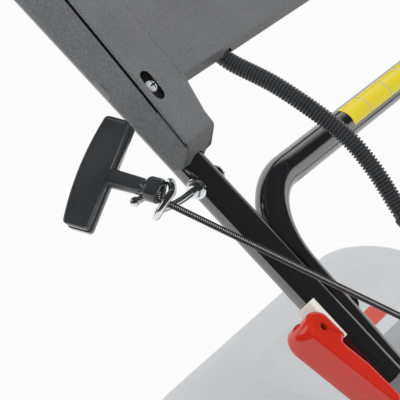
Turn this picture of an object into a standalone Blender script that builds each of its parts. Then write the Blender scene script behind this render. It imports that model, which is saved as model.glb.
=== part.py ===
"""Self-propelled walk-behind lawn mower, +X forwards, +Y to its left, +Z up, in metres.

Lengths along the mower are laid out from the rear axle. The empty mower_frame then carries
every piece to the middle of the footprint, so that the origin lies on the ground under it.
"""

import math

import bmesh
import bpy
from mathutils import Matrix, Vector

# Clearances
GAP = 0.0003
SHAFT_CLEARANCE = 0.0003

# Wheels and axles
REAR_WHEEL_R = 0.115
FRONT_WHEEL_R = 0.095
TYRE_WIDTH = 0.045
TYRE_HEIGHT = 0.026
WHEEL_SIDES = 20
WHEELBASE = 0.56
HUB_R = 0.021
WEB_HALF = 0.004
AXLE_R = 0.0075
AXLE_END = 0.003
FRONT_PIVOT_BACK = 0.060
FRONT_PIVOT_UP = 0.040
REAR_PIVOT_FORWARD = 0.060
REAR_PIVOT_UP = 0.028
PIVOT_ROD_R = 0.006
ARM_THICKNESS = 0.005

# Deck
DECK_REAR_X = -0.120
DECK_FRONT_X = 0.605
DECK_HALF_WIDTH = 0.215
WHEEL_INNER_Y = DECK_HALF_WIDTH + 0.023
CRANK_ARM_Y = DECK_HALF_WIDTH + 0.0115
DECK_TOP_Z = 0.175
DECK_SKIRT_Z = 0.052
DECK_SHEET = 0.0025
DECK_FRONT_CORNER_R = 0.11
DECK_REAR_CORNER_R = 0.042
DECK_SHOULDER = 0.028
OUTLET_FRONT_X = 0.080
OUTLET_REAR_X = -0.085
OUTLET_HALF_WIDTH = DECK_HALF_WIDTH - 0.065

# Discharge chute and flap
CHUTE_REAR_X = -0.135
CHUTE_HALF_WIDTH = OUTLET_HALF_WIDTH + 0.013
CHUTE_TOP_Z = 0.306
CHUTE_WALL = 0.003
CHUTE_FRONT_X = 0.112
CHUTE_CREST_X = -0.045
FLAP_HINGE_X = -0.050
FLAP_LENGTH = 0.165
FLAP_THICKNESS = 0.004
FLAP_ROD_R = 0.003
FLAP_EYE_R = 0.0062
FLAP_HALF_WIDTH = OUTLET_HALF_WIDTH

# Handles
TUBE_R = 0.0125
CLAMP_X = -0.4357
CLAMP_Z = 0.5565
LOWER_LEG_Y = DECK_HALF_WIDTH - 0.0125
UPPER_LEG_Y = LOWER_LEG_Y + 0.012
UPPER_SLOPE = math.radians(39.2)
LOWER_SLOPE = math.radians(41.6)
UPPER_LENGTH = 0.690
UPPER_TAIL = 0.060
LOWER_CROSSBAR = 0.1025
HANDLE_FOOT_Z = 0.212
FOOT_TAIL = 0.018
BEND_R = 0.062
UPPER_BEND_R = 0.060
FLAT_END = 0.118

# Clamp
CLAMP_BOLT_R = 0.004
SADDLE_HALF_LENGTH = 0.020
CAM_R = 0.0140
CAM_PIVOT_OUT = 0.0308
CAM_PIN_R = 0.003
CAM_HALF_WIDTH = 0.011
CAM_SLOT_HALF = 0.0044
CAM_LENGTH = 0.074

# Console
CONSOLE_END = 0.1585
CONSOLE_BACK = 0.345
CONSOLE_ARM_HALF = 0.0205
CONSOLE_TOP = 0.0283
CONSOLE_SLOPE = 0.075
CONSOLE_FLARE = 0.0105
SCALLOP_AT = 0.2265
BRIDGE_FRONT = 0.194
BRIDGE_UNDER = 0.009
SCREW_AT = 0.2025
SCREW_FLOOR = 0.0260
SCREW_OUT = 0.0100
WELL_OUT = 0.0108

# Starter rope, its guide and handle
ROPE_R = 0.0025
WIRE_R = 0.00275
RING_R = 0.0125
GUIDE_AT = 0.131
RING_OUT = 0.066
RING_AT = 0.1396
RING_UP = 0.0106
ROPE_EXIT = Vector((0.185, -0.075, 0.3414))
COLLAR_R = 0.009
COLLAR_LENGTH = 0.0145
NECK_R = 0.0062
NECK_LENGTH = 0.036
BAR_LENGTH = 0.082
BAR_WIDTH = 0.019
BAR_THICKNESS = 0.0155
BAR_WAY = (-0.311, -0.290, -0.905)
RING_RISE = 0.016

# Conduit of the control cables
CONDUIT_R = 0.0064
CONDUIT_GROOVE = 0.0011
CONDUIT_BORE_R = 0.0042
CONDUIT_RIBS = 46
CONDUIT_SIDE_Q = 0.120
CABLE_R = 0.0017
CABLE_BEND_X = -0.215
CABLE_AT = (-0.030, 0.250)

# Engine
ENGINE_X = 0.270
CRANKSHAFT_R = 0.0110
BLADE_Z = 0.078
BLADE_HALF_LENGTH = DECK_HALF_WIDTH - 0.010
CRANK_TOP_Z = 0.300
BLADE_HALF_WIDTH = 0.026
BLADE_SHEET = 0.004
BLOCK_HALF_X = 0.062
BLOCK_HALF_Y = 0.060
BLOCK_TOP_Z = 0.2400
CYLINDER_FRONT_X = 0.425
CYLINDER_HALF_Y = 0.044
FLYWHEEL_R = 0.084
FLYWHEEL_Z = 0.262
COWL_BOTTOM_Z = 0.236
COWL_TOP_Z = 0.3140
COWL_HALF_Y = 0.121
COWL_BACK_X = 0.147
COWL_FRONT_X = 0.452
COWL_WALL = 0.0025
COWL_HOLE_R = 0.078
STARTER_R = 0.104
STARTER_TOP_Z = 0.384
STARTER_WALL = 0.0025
REEL_R = 0.049
REEL_WIND = 0.0415
REEL_Z = 0.3305
REEL_HALF = 0.0075
REEL_POST_R = 0.010
TANK_FRONT_X = 0.350
TANK_BACK_X = 0.165
TANK_INNER_Y = 0.125
TANK_OUTER_Y = 0.190
TANK_BOTTOM_Z = 0.215
TANK_TOP_Z = 0.318
CAP_R = 0.024
CAP_X = 0.215
OIL_FROM = (0.240, -0.052, 0.203)
OIL_TO = (0.222, -0.150, 0.221)

# Drive
DRIVE_PULLEY_R = 0.020
GEARBOX_PULLEY_R = 0.030
BELT_Z = 0.159
GEARBOX_HALF_X = 0.030
GEARBOX_HALF_Y = 0.036
GEARBOX_BOTTOM_Z = 0.082
GEARBOX_TOP_Z = 0.146
BELT_WIDTH = 0.008
BELT_DEPTH = 0.006
LEVER_TOP_Z = 0.268
LEVER_KNOB = 0.064

# Grass box
BOX_FRONT_X = -0.1355
BOX_REAR_X = -0.630
BOX_FRONT_HALF = CHUTE_HALF_WIDTH + 0.017
BOX_REAR_HALF = BOX_FRONT_HALF + 0.016
BOX_BOTTOM_Z = 0.130
BOX_RIM_Z = 0.308
BOX_WALL = 0.003
LID_TOP_Z = 0.424
LIP_END_X = -0.225
LIP_Z = 0.3140
MOUTH_HALF = BOX_FRONT_HALF - 0.028
LIP_HALF = BOX_FRONT_HALF - 0.012
GRIP_X = -0.436
GRIP_TRAY_X = 0.052
GRIP_TRAY_Y = 0.080

# Controls at the top of the handle
GRIP_R = 0.0172
GRIP_HALF_LENGTH = 0.130
BAIL_R = 0.004
BAIL_LENGTH = 0.205
BRAKE_PIVOT = UPPER_LENGTH - 0.220
DRIVE_PIVOT = UPPER_LENGTH - 0.242
DRIVE_BAIL_INSET = 0.0095
BRAKE_BAIL_REST = math.radians(24.0)
DRIVE_BAIL_REST = math.radians(-24.0)
BAIL_SOCKET = 0.008
LEVER_AT = 0.262
LEVER_Y = -0.050

REAR_EDGE_X = CLAMP_X - UPPER_LENGTH * math.cos(UPPER_SLOPE) - GRIP_R
FRONT_EDGE_X = WHEELBASE + FRONT_WHEEL_R
ORIGIN_X = -(FRONT_EDGE_X + REAR_EDGE_X) / 2
SIDES = {"right": -1, "left": 1}
HANDLE_SIDES = {"right": 1, "left": -1}


def clear_scene():
    for obj in list(bpy.data.objects):
        bpy.data.objects.remove(obj)


def new_collection(name):
    made = bpy.data.collections.new(name)
    bpy.context.scene.collection.children.link(made)
    return made


clear_scene()
MOWER = new_collection("lawn_mower")
CUTTERS = new_collection("cutters")
CUTTERS.hide_render = True
FRAME = bpy.data.objects.new("mower_frame", None)
MOWER.objects.link(FRAME)


def finish(name, colour, roughness, metallic=0.0):
    material = bpy.data.materials.new(name)
    material.use_nodes = True
    shader = material.node_tree.nodes["Principled BSDF"]
    shader.inputs["Base Color"].default_value = (*colour, 1.0)
    shader.inputs["Roughness"].default_value = roughness
    shader.inputs["Metallic"].default_value = metallic
    return material


BLACK_ENAMEL = finish("black_enamel", (0.012, 0.012, 0.014), 0.22)
RED_ENAMEL = finish("red_enamel", (0.62, 0.035, 0.02), 0.3)
ZINC = finish("zinc", (0.72, 0.73, 0.74), 0.25, 1.0)
STEEL = finish("steel", (0.42, 0.42, 0.43), 0.4, 1.0)
ALLOY = finish("cast_alloy", (0.55, 0.56, 0.57), 0.5, 1.0)
BLACK_PLASTIC = finish("black_plastic", (0.02, 0.02, 0.022), 0.45)
GREY_PLASTIC = finish("grey_plastic", (0.09, 0.092, 0.098), 0.55)
GLOSS_PLASTIC = finish("gloss_black_plastic", (0.016, 0.016, 0.018), 0.25)
PALE_PLASTIC = finish("pale_grey_plastic", (0.62, 0.63, 0.65), 0.45)
RED_PLASTIC = finish("red_plastic", (0.66, 0.06, 0.025), 0.25)
RUBBER = finish("rubber", (0.018, 0.018, 0.018), 0.8)
BRAID = finish("braided_rope", (0.03, 0.03, 0.03), 0.8)
CREAM = finish("cream_enamel", (0.8, 0.79, 0.74), 0.2)


# Moves a piece into the mower, or into the cutters
def keep(obj, name, material):
    obj.name = name
    obj.parent = FRAME
    obj.data.materials.clear()
    obj.data.materials.append(material)
    MOWER.objects.link(obj)
    return obj


def as_cutter(obj):
    if obj.parent is None:
        obj.parent = FRAME
    obj.hide_render = True
    obj.display_type = "WIRE"
    CUTTERS.objects.link(obj)
    return obj


def boolean(obj, other, operation):
    as_cutter(other)
    step = obj.modifiers.new(operation.lower(), "BOOLEAN")
    step.operation = operation
    step.solver = "EXACT"
    step.object = other


def cut(obj, *cutters):
    for cutter in cutters:
        boolean(obj, cutter, "DIFFERENCE")
    return obj


def fuse(obj, *others):
    for other in others:
        boolean(obj, other, "UNION")
    return obj


def object_of(mesh_builder, name="piece"):
    mesh = bpy.data.meshes.new(name)
    mesh_builder.to_mesh(mesh)
    mesh_builder.free()
    return bpy.data.objects.new(name, mesh)


# Puts an object's origin at a point of the layout, with its shape left where it is
def turn_about(obj, point):
    obj.data.transform(Matrix.Translation(-Vector(point)))
    obj.location = point
    return obj


def block(low, high, edge=0.0):
    builder = bmesh.new()
    bmesh.ops.create_cube(builder, size=1.0)
    size = Vector(high) - Vector(low)
    bmesh.ops.scale(builder, vec=size, verts=builder.verts)
    bmesh.ops.translate(builder, vec=(Vector(low) + Vector(high)) / 2, verts=builder.verts)
    obj = object_of(builder)
    if edge:
        round_edges(obj, edge)
    return obj


def round_edges(obj, width, segments=2):
    step = obj.modifiers.new("rounded", "BEVEL")
    step.width = width
    step.segments = segments
    step.limit_method = "ANGLE"
    step.angle_limit = math.radians(40)
    return obj


def along(direction):
    return Vector(direction).normalized().to_track_quat("Z", "Y").to_matrix().to_4x4()


def rod(start, end, radius, sides=20, end_radius=None):
    start = Vector(start)
    end = Vector(end)
    builder = bmesh.new()
    bmesh.ops.create_cone(
        builder, cap_ends=True, segments=sides, radius1=radius,
        radius2=radius if end_radius is None else end_radius, depth=(end - start).length,
    )
    place = Matrix.Translation((start + end) / 2) @ along(end - start)
    bmesh.ops.transform(builder, matrix=place, verts=builder.verts)
    return object_of(builder)


# A turned piece: its profile is (radius, height) down the outer side, about local Z
def turned(profile, centre, axis, steps=32, ring=False):
    builder = bmesh.new()
    points = [builder.verts.new((radius, 0.0, height)) for radius, height in profile]
    for first, second in zip(points, points[1:]):
        builder.edges.new((first, second))
    if ring:
        builder.edges.new((points[-1], points[0]))
    obj = object_of(builder)
    step = obj.modifiers.new("turned", "SCREW")
    step.axis = "Z"
    step.steps = steps
    step.render_steps = steps
    step.use_merge_vertices = True
    step.merge_threshold = 0.00001
    step.use_smooth_shade = True
    obj.matrix_basis = Matrix.Translation(centre) @ along(axis)
    return obj


def evaluated_mesh(obj):
    if obj.name not in bpy.context.scene.collection.all_objects:
        bpy.context.scene.collection.objects.link(obj)
    bpy.context.view_layer.update()
    graph = bpy.context.evaluated_depsgraph_get()
    return bpy.data.meshes.new_from_object(obj.evaluated_get(graph))


def drop_cutters(obj):
    for step in obj.modifiers:
        if step.type == "BOOLEAN":
            bpy.data.objects.remove(step.object)


# Turns a curve, or a piece with modifiers, into a plain mesh object with its place kept
def as_mesh(obj):
    mesh = evaluated_mesh(obj)
    mesh.transform(obj.matrix_basis)
    drop_cutters(obj)
    builder = bmesh.new()
    builder.from_mesh(mesh)
    bmesh.ops.remove_doubles(builder, verts=builder.verts, dist=0.000001)
    bpy.data.objects.remove(obj)
    return object_of(builder)


def curve_object(dimensions):
    curve = bpy.data.curves.new("piece", "CURVE")
    curve.dimensions = dimensions
    return curve


def add_line(curve, points, closed, radii=None):
    spline = curve.splines.new("POLY")
    spline.points.add(len(points) - 1)
    for index, point in enumerate(points):
        spline.points[index].co = (*point, 0.0)[:3] + (1.0,)
        if radii:
            spline.points[index].radius = radii[index]
    spline.use_cyclic_u = closed


def tube(points, radius, resolution=4, radii=None):
    curve = curve_object("3D")
    curve.bevel_depth = radius
    curve.bevel_resolution = resolution
    curve.use_fill_caps = True
    add_line(curve, points, False, radii)
    return bpy.data.objects.new("piece", curve)


PLANES = {
    "XY": Matrix.Identity(4),
    "XZ": Matrix.Rotation(math.pi / 2, 4, "X"),
    "YZ": Matrix(((0, 0, 1, 0), (1, 0, 0, 0), (0, 1, 0, 0), (0, 0, 0, 1))),
}


# A flat outline with its holes, of a given thickness, in a plane at one level
def plate(outline, thickness, plane, level, holes=()):
    curve = curve_object("2D")
    curve.fill_mode = "BOTH"
    curve.extrude = thickness / 2
    add_line(curve, outline, True)
    for hole in holes:
        add_line(curve, hole, True)
    obj = bpy.data.objects.new("piece", curve)
    turn = PLANES[plane]
    normal = turn.to_3x3() @ Vector((0, 0, 1))
    # The plane XZ looks along -Y, so its level is taken along the world axis itself
    offset = Vector([abs(value) for value in normal]) * level
    obj.matrix_basis = Matrix.Translation(offset) @ turn
    return obj


def circle(centre, radius, count=20, start=0.0):
    return [
        (centre[0] + radius * math.cos(start + 2 * math.pi * k / count),
         centre[1] + radius * math.sin(start + 2 * math.pi * k / count))
        for k in range(count)
    ]


# A path or outline with its corners rounded by arcs
def rounded_path(points, radius, steps=8, closed=False):
    corners = [Vector(point) for point in points]
    count = len(corners)
    path = []
    for index, corner in enumerate(corners):
        if not closed and index in (0, count - 1):
            path.append(tuple(corner))
            continue
        bend = radius[index] if isinstance(radius, list) else radius
        before = (corners[index - 1] - corner).normalized()
        after = (corners[(index + 1) % count] - corner).normalized()
        half = before.angle(after) / 2
        reach = bend / math.tan(half)
        centre = corner + (before + after).normalized() * bend / math.sin(half)
        start = corner + before * reach - centre
        sweep = math.pi - 2 * half
        across = (corner + after * reach - centre - start * math.cos(sweep)) / math.sin(sweep)
        for step in range(steps + 1):
            angle = sweep * step / steps
            path.append(tuple(centre + start * math.cos(angle) + across * math.sin(angle)))
    return path


def rounded_box(low, high, radius, steps=6):
    corners = [low, (high[0], low[1]), high, (low[0], high[1])]
    return rounded_path(corners, radius, steps, closed=True)


# A smooth curve through a cord's own points
def smooth_route(points, count):
    points = [Vector(point) for point in points]
    ends = [points[0] * 2 - points[1], *points, points[-1] * 2 - points[-2]]
    dense = []
    for index in range(1, len(ends) - 2):
        p0, p1, p2, p3 = ends[index - 1:index + 3]
        for step in range(24):
            t = step / 24
            dense.append(0.5 * (
                2 * p1 + (p2 - p0) * t + (2 * p0 - 5 * p1 + 4 * p2 - p3) * t * t
                + (3 * p1 - p0 - 3 * p2 + p3) * t ** 3
            ))
    dense.append(points[-1])
    lengths = [0.0]
    for first, second in zip(dense, dense[1:]):
        lengths.append(lengths[-1] + (second - first).length)
    route = []
    at = 0
    for step in range(count):
        target = lengths[-1] * step / (count - 1)
        while at < len(lengths) - 2 and lengths[at + 1] < target:
            at += 1
        share = (target - lengths[at]) / (lengths[at + 1] - lengths[at])
        route.append(dense[at].lerp(dense[at + 1], share))
    return route


# The handles' own frames: along the tube, to the mower's right, and up off the handle's plane
def handle_frame(slope):
    tube_way = Vector((-math.cos(slope), 0.0, math.sin(slope)))
    up = Vector((math.sin(slope), 0.0, math.cos(slope)))
    turn = Matrix((tube_way, (0.0, -1.0, 0.0), up)).transposed().to_4x4()
    return Matrix.Translation((CLAMP_X, 0.0, CLAMP_Z)) @ turn


UPPER = handle_frame(UPPER_SLOPE)
LOWER = handle_frame(LOWER_SLOPE)


def set_on(frame, obj):
    obj.matrix_basis = frame @ obj.matrix_basis
    return obj


# Each wheel stands on a flat of its tyre, whose flats lie at the wheel's radius
def make_wheel(name, x, radius, side):
    flat = math.pi / WHEEL_SIDES
    radius = radius / math.cos(flat)
    rim_r = radius - TYRE_HEIGHT
    half = TYRE_WIDTH / 2
    inner = rim_r + GAP
    shoulder = TYRE_WIDTH * 0.18
    tread = [
        (inner, half * 0.72), (radius - shoulder, half), (radius, half * 0.62),
        (radius, -half * 0.62), (radius - shoulder, -half), (inner, -half * 0.72),
    ]
    centre = (x, side * (WHEEL_INNER_Y + half), radius * math.cos(flat))
    turn = Matrix.Rotation(flat, 4, "Z")
    tyre = turned(tread, centre, (0, side, 0), WHEEL_SIDES, ring=True)
    tyre.matrix_basis = tyre.matrix_basis @ turn
    keep(tyre, f"tyre_{name}", RUBBER)
    bore = AXLE_R + SHAFT_CLEARANCE
    lip = rim_r - 0.007
    rim = [
        (rim_r, half * 0.66), (rim_r, -half * 0.66), (lip, -WEB_HALF), (HUB_R, -half * 0.9),
        (bore, -half * 0.9), (bore, half * 0.9), (HUB_R, half * 0.9), (lip, WEB_HALF),
    ]
    wheel = turned(rim, centre, (0, side, 0), WHEEL_SIDES, ring=True)
    wheel.matrix_basis = wheel.matrix_basis @ turn
    keep(wheel, f"rim_{name}", BLACK_PLASTIC)


def make_wheels():
    for name, side in SIDES.items():
        make_wheel(f"front_{name}", WHEELBASE, FRONT_WHEEL_R, side)
        make_wheel(f"rear_{name}", 0.0, REAR_WHEEL_R, side)


# One bent rod: its middle turns in the deck, its cranked ends carry the wheels
def make_front_axle():
    pivot = (WHEELBASE - FRONT_PIVOT_BACK, FRONT_WHEEL_R + FRONT_PIVOT_UP)
    reach = WHEEL_INNER_Y + TYRE_WIDTH + AXLE_END
    points = [
        (WHEELBASE, -reach, FRONT_WHEEL_R), (WHEELBASE, -CRANK_ARM_Y, FRONT_WHEEL_R),
        (pivot[0], -CRANK_ARM_Y, pivot[1]), (pivot[0], CRANK_ARM_Y, pivot[1]),
        (WHEELBASE, CRANK_ARM_Y, FRONT_WHEEL_R), (WHEELBASE, reach, FRONT_WHEEL_R),
    ]
    axle = as_mesh(tube(rounded_path(points, 0.010, 3), AXLE_R, 2))
    turn_about(axle, (pivot[0], 0.0, pivot[1]))
    keep(axle, "front_axle", ZINC)


def rear_arm(side):
    pivot = (REAR_PIVOT_FORWARD, REAR_WHEEL_R + REAR_PIVOT_UP)
    link = Vector((pivot[0], pivot[1] - REAR_WHEEL_R))
    way = link.normalized()
    across = Vector((-way.y, way.x))
    wide = 0.017
    narrow = 0.011
    wheel = Vector((0.0, REAR_WHEEL_R))
    end = Vector(pivot)
    outline = []
    turn = math.atan2(way.y, way.x)
    for k in range(7):
        angle = turn + math.pi / 2 + math.pi * k / 6
        outline.append(tuple(wheel + Vector((math.cos(angle), math.sin(angle))) * wide))
    for k in range(7):
        angle = turn - math.pi / 2 + math.pi * k / 6
        outline.append(tuple(end + Vector((math.cos(angle), math.sin(angle))) * narrow))
    hole = circle(wheel, AXLE_R + SHAFT_CLEARANCE + 0.0002, 12)
    return as_mesh(plate(outline, ARM_THICKNESS, "XZ", side * CRANK_ARM_Y, [hole]))


# Two arms on a cross rod, which turns in the deck and lets the driven axle down
def make_rear_carrier():
    pivot = (REAR_PIVOT_FORWARD, REAR_WHEEL_R + REAR_PIVOT_UP)
    reach = CRANK_ARM_Y + 0.0015
    carrier = rod((pivot[0], -reach, pivot[1]), (pivot[0], reach, pivot[1]), PIVOT_ROD_R, 16)
    fuse(carrier, rear_arm(-1.0), rear_arm(1.0))
    pivot_point = (pivot[0], 0.0, pivot[1])
    keep(turn_about(as_mesh(carrier), pivot_point), "rear_axle_carrier", ZINC)


def make_rear_axle():
    reach = WHEEL_INNER_Y + TYRE_WIDTH + AXLE_END
    axle = rod((0, -reach, REAR_WHEEL_R), (0, reach, REAR_WHEEL_R), AXLE_R, 20)
    keep(turn_about(axle, (0, 0, REAR_WHEEL_R)), "rear_axle", STEEL)


def deck_ring(inset):
    low = (DECK_REAR_X + inset, -DECK_HALF_WIDTH + inset)
    high = (DECK_FRONT_X - inset, DECK_HALF_WIDTH - inset)
    rear = DECK_REAR_CORNER_R - inset
    front = DECK_FRONT_CORNER_R - inset
    corners = [low, (high[0], low[1]), high, (low[0], high[1])]
    return rounded_path(corners, [rear, front, front, rear], 3, closed=True)


# A skin through level rings of points, closed by the last of them and thickened inwards
def skin(rings, wall):
    builder = bmesh.new()
    levels = [[builder.verts.new(point) for point in ring] for ring in rings]
    count = len(levels[0])
    for lower, upper in zip(levels, levels[1:]):
        for k in range(count):
            builder.faces.new((lower[k], lower[(k + 1) % count], upper[(k + 1) % count], upper[k]))
    builder.faces.new(levels[-1])
    obj = object_of(builder)
    step = obj.modifiers.new("wall", "SOLIDIFY")
    step.thickness = wall
    step.offset = -1.0
    step.use_even_offset = True
    return obj


def make_deck():
    drop = DECK_TOP_Z - DECK_SKIRT_Z
    levels = [
        (0.0, DECK_SKIRT_Z), (0.0, DECK_TOP_Z - 0.25 * drop),
        (DECK_SHOULDER * 0.3, DECK_TOP_Z - 0.09 * drop), (DECK_SHOULDER, DECK_TOP_Z),
    ]
    rings = [[(x, y, z) for x, y in deck_ring(inset)] for inset, z in levels]
    deck = skin(rings, DECK_SHEET)
    outlet = block(
        (OUTLET_REAR_X, -OUTLET_HALF_WIDTH, DECK_TOP_Z - 0.02),
        (OUTLET_FRONT_X, OUTLET_HALF_WIDTH, DECK_TOP_Z + 0.02),
    )
    shaft = rod((ENGINE_X, 0, DECK_TOP_Z - 0.02), (ENGINE_X, 0, DECK_TOP_Z + 0.02), 0.030, 16)
    wide = DECK_HALF_WIDTH + 0.01
    bearings = []
    for x, z, radius in (
        (WHEELBASE - FRONT_PIVOT_BACK, FRONT_WHEEL_R + FRONT_PIVOT_UP, AXLE_R),
        (REAR_PIVOT_FORWARD, REAR_WHEEL_R + REAR_PIVOT_UP, PIVOT_ROD_R),
    ):
        bearings.append(rod((x, -wide, z), (x, wide, z), radius + SHAFT_CLEARANCE + 0.0001, 14))
    slot = block((-0.013, -wide, DECK_SKIRT_Z - 0.01), (0.030, wide, REAR_WHEEL_R + 0.010))
    cut(deck, outlet, shaft, slot, *bearings)
    keep(deck, "deck_shell", RED_ENAMEL)


# The hood over the deck's outlet, open below and to the rear, with the flap's two lugs
def make_chute():
    foot = DECK_TOP_Z + GAP
    slope_top = Vector((CHUTE_CREST_X + 0.030, CHUTE_TOP_Z - 0.012))
    slope_foot = Vector((CHUTE_FRONT_X, foot))
    outer = [
        tuple(slope_foot), tuple(slope_top), (CHUTE_CREST_X, CHUTE_TOP_Z),
        (CHUTE_REAR_X, CHUTE_TOP_Z), (CHUTE_REAR_X, foot),
    ]
    way = (slope_foot - slope_top).normalized()
    inward = Vector((way.y, -way.x)) * CHUTE_WALL
    ceiling = CHUTE_TOP_Z - CHUTE_WALL
    inner = [
        tuple(slope_foot + inward + way * 0.02), tuple(slope_top + inward),
        (CHUTE_CREST_X - 0.001, ceiling), (CHUTE_REAR_X - 0.02, ceiling),
        (CHUTE_REAR_X - 0.02, slope_foot.y + inward.y + way.y * 0.02),
    ]
    chute = as_mesh(plate(outer, 2 * CHUTE_HALF_WIDTH, "XZ", 0.0))
    inside = as_mesh(plate(inner, 2 * (CHUTE_HALF_WIDTH - CHUTE_WALL), "XZ", 0.0))
    hinge_z = flap_hinge_z()
    for side in (-1, 1):
        low = FLAP_HALF_WIDTH + 0.002
        lug = block(
            (FLAP_HINGE_X - 0.006, min(side * low, side * (low + 0.006)), CHUTE_TOP_Z - 0.0015),
            (FLAP_HINGE_X + 0.006, max(side * low, side * (low + 0.006)), hinge_z + 0.006),
        )
        fuse(chute, lug)
    wide = CHUTE_HALF_WIDTH + 0.01
    pin = rod(
        (FLAP_HINGE_X, -wide, hinge_z), (FLAP_HINGE_X, wide, hinge_z), FLAP_ROD_R + SHAFT_CLEARANCE, 12,
    )
    side = -CHUTE_HALF_WIDTH
    cable = rod((CABLE_AT[0], side - 0.01, CABLE_AT[1]), (CABLE_AT[0], side + 0.01, CABLE_AT[1]), 0.0034, 12)
    cut(chute, inside, pin, cable)
    keep(as_mesh(chute), "discharge_chute", BLACK_PLASTIC)


def flap_hinge_z():
    return CHUTE_TOP_Z + FLAP_EYE_R + 0.0013


def make_flap():
    hinge_z = flap_hinge_z()
    top = hinge_z + FLAP_EYE_R
    flap = block(
        (FLAP_HINGE_X - FLAP_LENGTH, -FLAP_HALF_WIDTH, top - FLAP_THICKNESS - 0.0003),
        (FLAP_HINGE_X - 0.001, FLAP_HALF_WIDTH, top - 0.0003),
    )
    start = (FLAP_HINGE_X, -FLAP_HALF_WIDTH, hinge_z)
    end = (FLAP_HINGE_X, FLAP_HALF_WIDTH, hinge_z)
    fuse(flap, rod(start, end, FLAP_EYE_R, 14))
    reach = FLAP_HALF_WIDTH + 0.0095
    pin = rod((FLAP_HINGE_X, -reach, hinge_z), (FLAP_HINGE_X, reach, hinge_z), FLAP_ROD_R, 10)
    fuse(flap, pin)
    keep(turn_about(as_mesh(flap), (FLAP_HINGE_X, 0, hinge_z)), "rear_flap", BLACK_PLASTIC)


def foot_bolt_point():
    drop = (HANDLE_FOOT_Z - CLAMP_Z) / math.sin(LOWER_SLOPE)
    return (CLAMP_X - drop * math.cos(LOWER_SLOPE), HANDLE_FOOT_Z)


def make_brackets():
    bolt_x, bolt_z = foot_bolt_point()
    foot = DECK_TOP_Z + GAP
    inner = LOWER_LEG_Y - TUBE_R - GAP
    outline = rounded_path(
        [(bolt_x - 0.038, foot), (bolt_x + 0.038, foot), (bolt_x + 0.016, bolt_z + 0.016),
         (bolt_x - 0.016, bolt_z + 0.016)], 0.0015, 2, closed=True,
    )
    hole = circle((bolt_x, bolt_z), CLAMP_BOLT_R + SHAFT_CLEARANCE + 0.0001, 12)
    for name, side in SIDES.items():
        upright = as_mesh(plate(outline, 0.003, "XZ", side * (inner - 0.0015), [hole]))
        edges = sorted((side * (inner - 0.002), side * (inner - 0.018)))
        flange = block((bolt_x - 0.036, edges[0], foot), (bolt_x + 0.036, edges[1], foot + 0.003))
        keep(as_mesh(fuse(upright, flange)), f"handle_bracket_{name}", BLACK_ENAMEL)


def hexagon(centre, width):
    return circle(centre, width / math.sqrt(3), 6)


# Hexagon-headed bolts through the lower handle's feet, each with its nut
def make_handle_bolts():
    bolt_x, bolt_z = foot_bolt_point()
    centre = (bolt_x, bolt_z)
    outside = LOWER_LEG_Y + TUBE_R + GAP
    inside = LOWER_LEG_Y - TUBE_R - GAP - 0.003 - GAP
    for name, side in SIDES.items():
        bolt = rod(
            (bolt_x, side * (inside - 0.008), bolt_z), (bolt_x, side * (outside + 0.002), bolt_z), CLAMP_BOLT_R, 12,
        )
        head = as_mesh(plate(hexagon(centre, 0.013), 0.0053, "XZ", side * (outside + 0.00265)))
        nut = as_mesh(plate(hexagon(centre, 0.013), 0.0065, "XZ", side * (inside - 0.00325)))
        keep(as_mesh(fuse(bolt, head, nut)), f"handle_bolt_{name}", ZINC)


def leg_bores(end, leg, depth=0.030):
    bores = []
    for side in (-1, 1):
        bores.append(rod((end - 0.002, side * leg, 0), (end + depth, side * leg, 0), 0.0108, 16))
    return bores


# Flat faces on a handle's legs, where the two handles lie side by side
def flats(start, end, leg, keep_inner):
    face = (UPPER_LEG_Y + LOWER_LEG_Y) / 2
    cutters = []
    for side in (-1, 1):
        if keep_inner:
            edges = sorted((side * (face - GAP / 2), side * (face + 0.05)))
        else:
            edges = sorted((side * (face + GAP / 2), side * (face - 0.05)))
        cutters.append(block((start, edges[0], -0.03), (end, edges[1], 0.03)))
    return cutters


def cross_holes(at, leg, radius, sides=(-1, 1)):
    holes = []
    for side in sides:
        holes.append(rod((at, side * (leg - 0.03), 0), (at, side * (leg + 0.03), 0), radius, 16))
    return holes


def handle_tube(frame, points, bend, cutters):
    handle = set_on(frame, as_mesh(tube(rounded_path(points, bend, 6), TUBE_R, 4)))
    for cutter in cutters:
        set_on(frame, cutter)
    cut(handle, *cutters)
    place = handle.matrix_basis.copy()
    handle.data.transform(place)
    handle.matrix_basis = Matrix.Identity(4)
    return turn_about(handle, (CLAMP_X, 0, CLAMP_Z))


def make_lower_handle():
    foot = (HANDLE_FOOT_Z - CLAMP_Z) / math.sin(LOWER_SLOPE)
    end = foot - FOOT_TAIL
    leg = LOWER_LEG_Y
    points = [(end, leg, 0), (LOWER_CROSSBAR, leg, 0), (LOWER_CROSSBAR, -leg, 0), (end, -leg, 0)]
    cutters = leg_bores(end, leg, 0.006)
    cutters += flats(-0.075, 0.125, leg, True)
    cutters += cross_holes(0.0, leg, CLAMP_BOLT_R + SHAFT_CLEARANCE)
    cutters += cross_holes(foot, leg, CLAMP_BOLT_R + SHAFT_CLEARANCE)
    handle = handle_tube(LOWER, points, BEND_R, cutters)
    keep(handle, "lower_handle", BLACK_ENAMEL)


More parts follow.
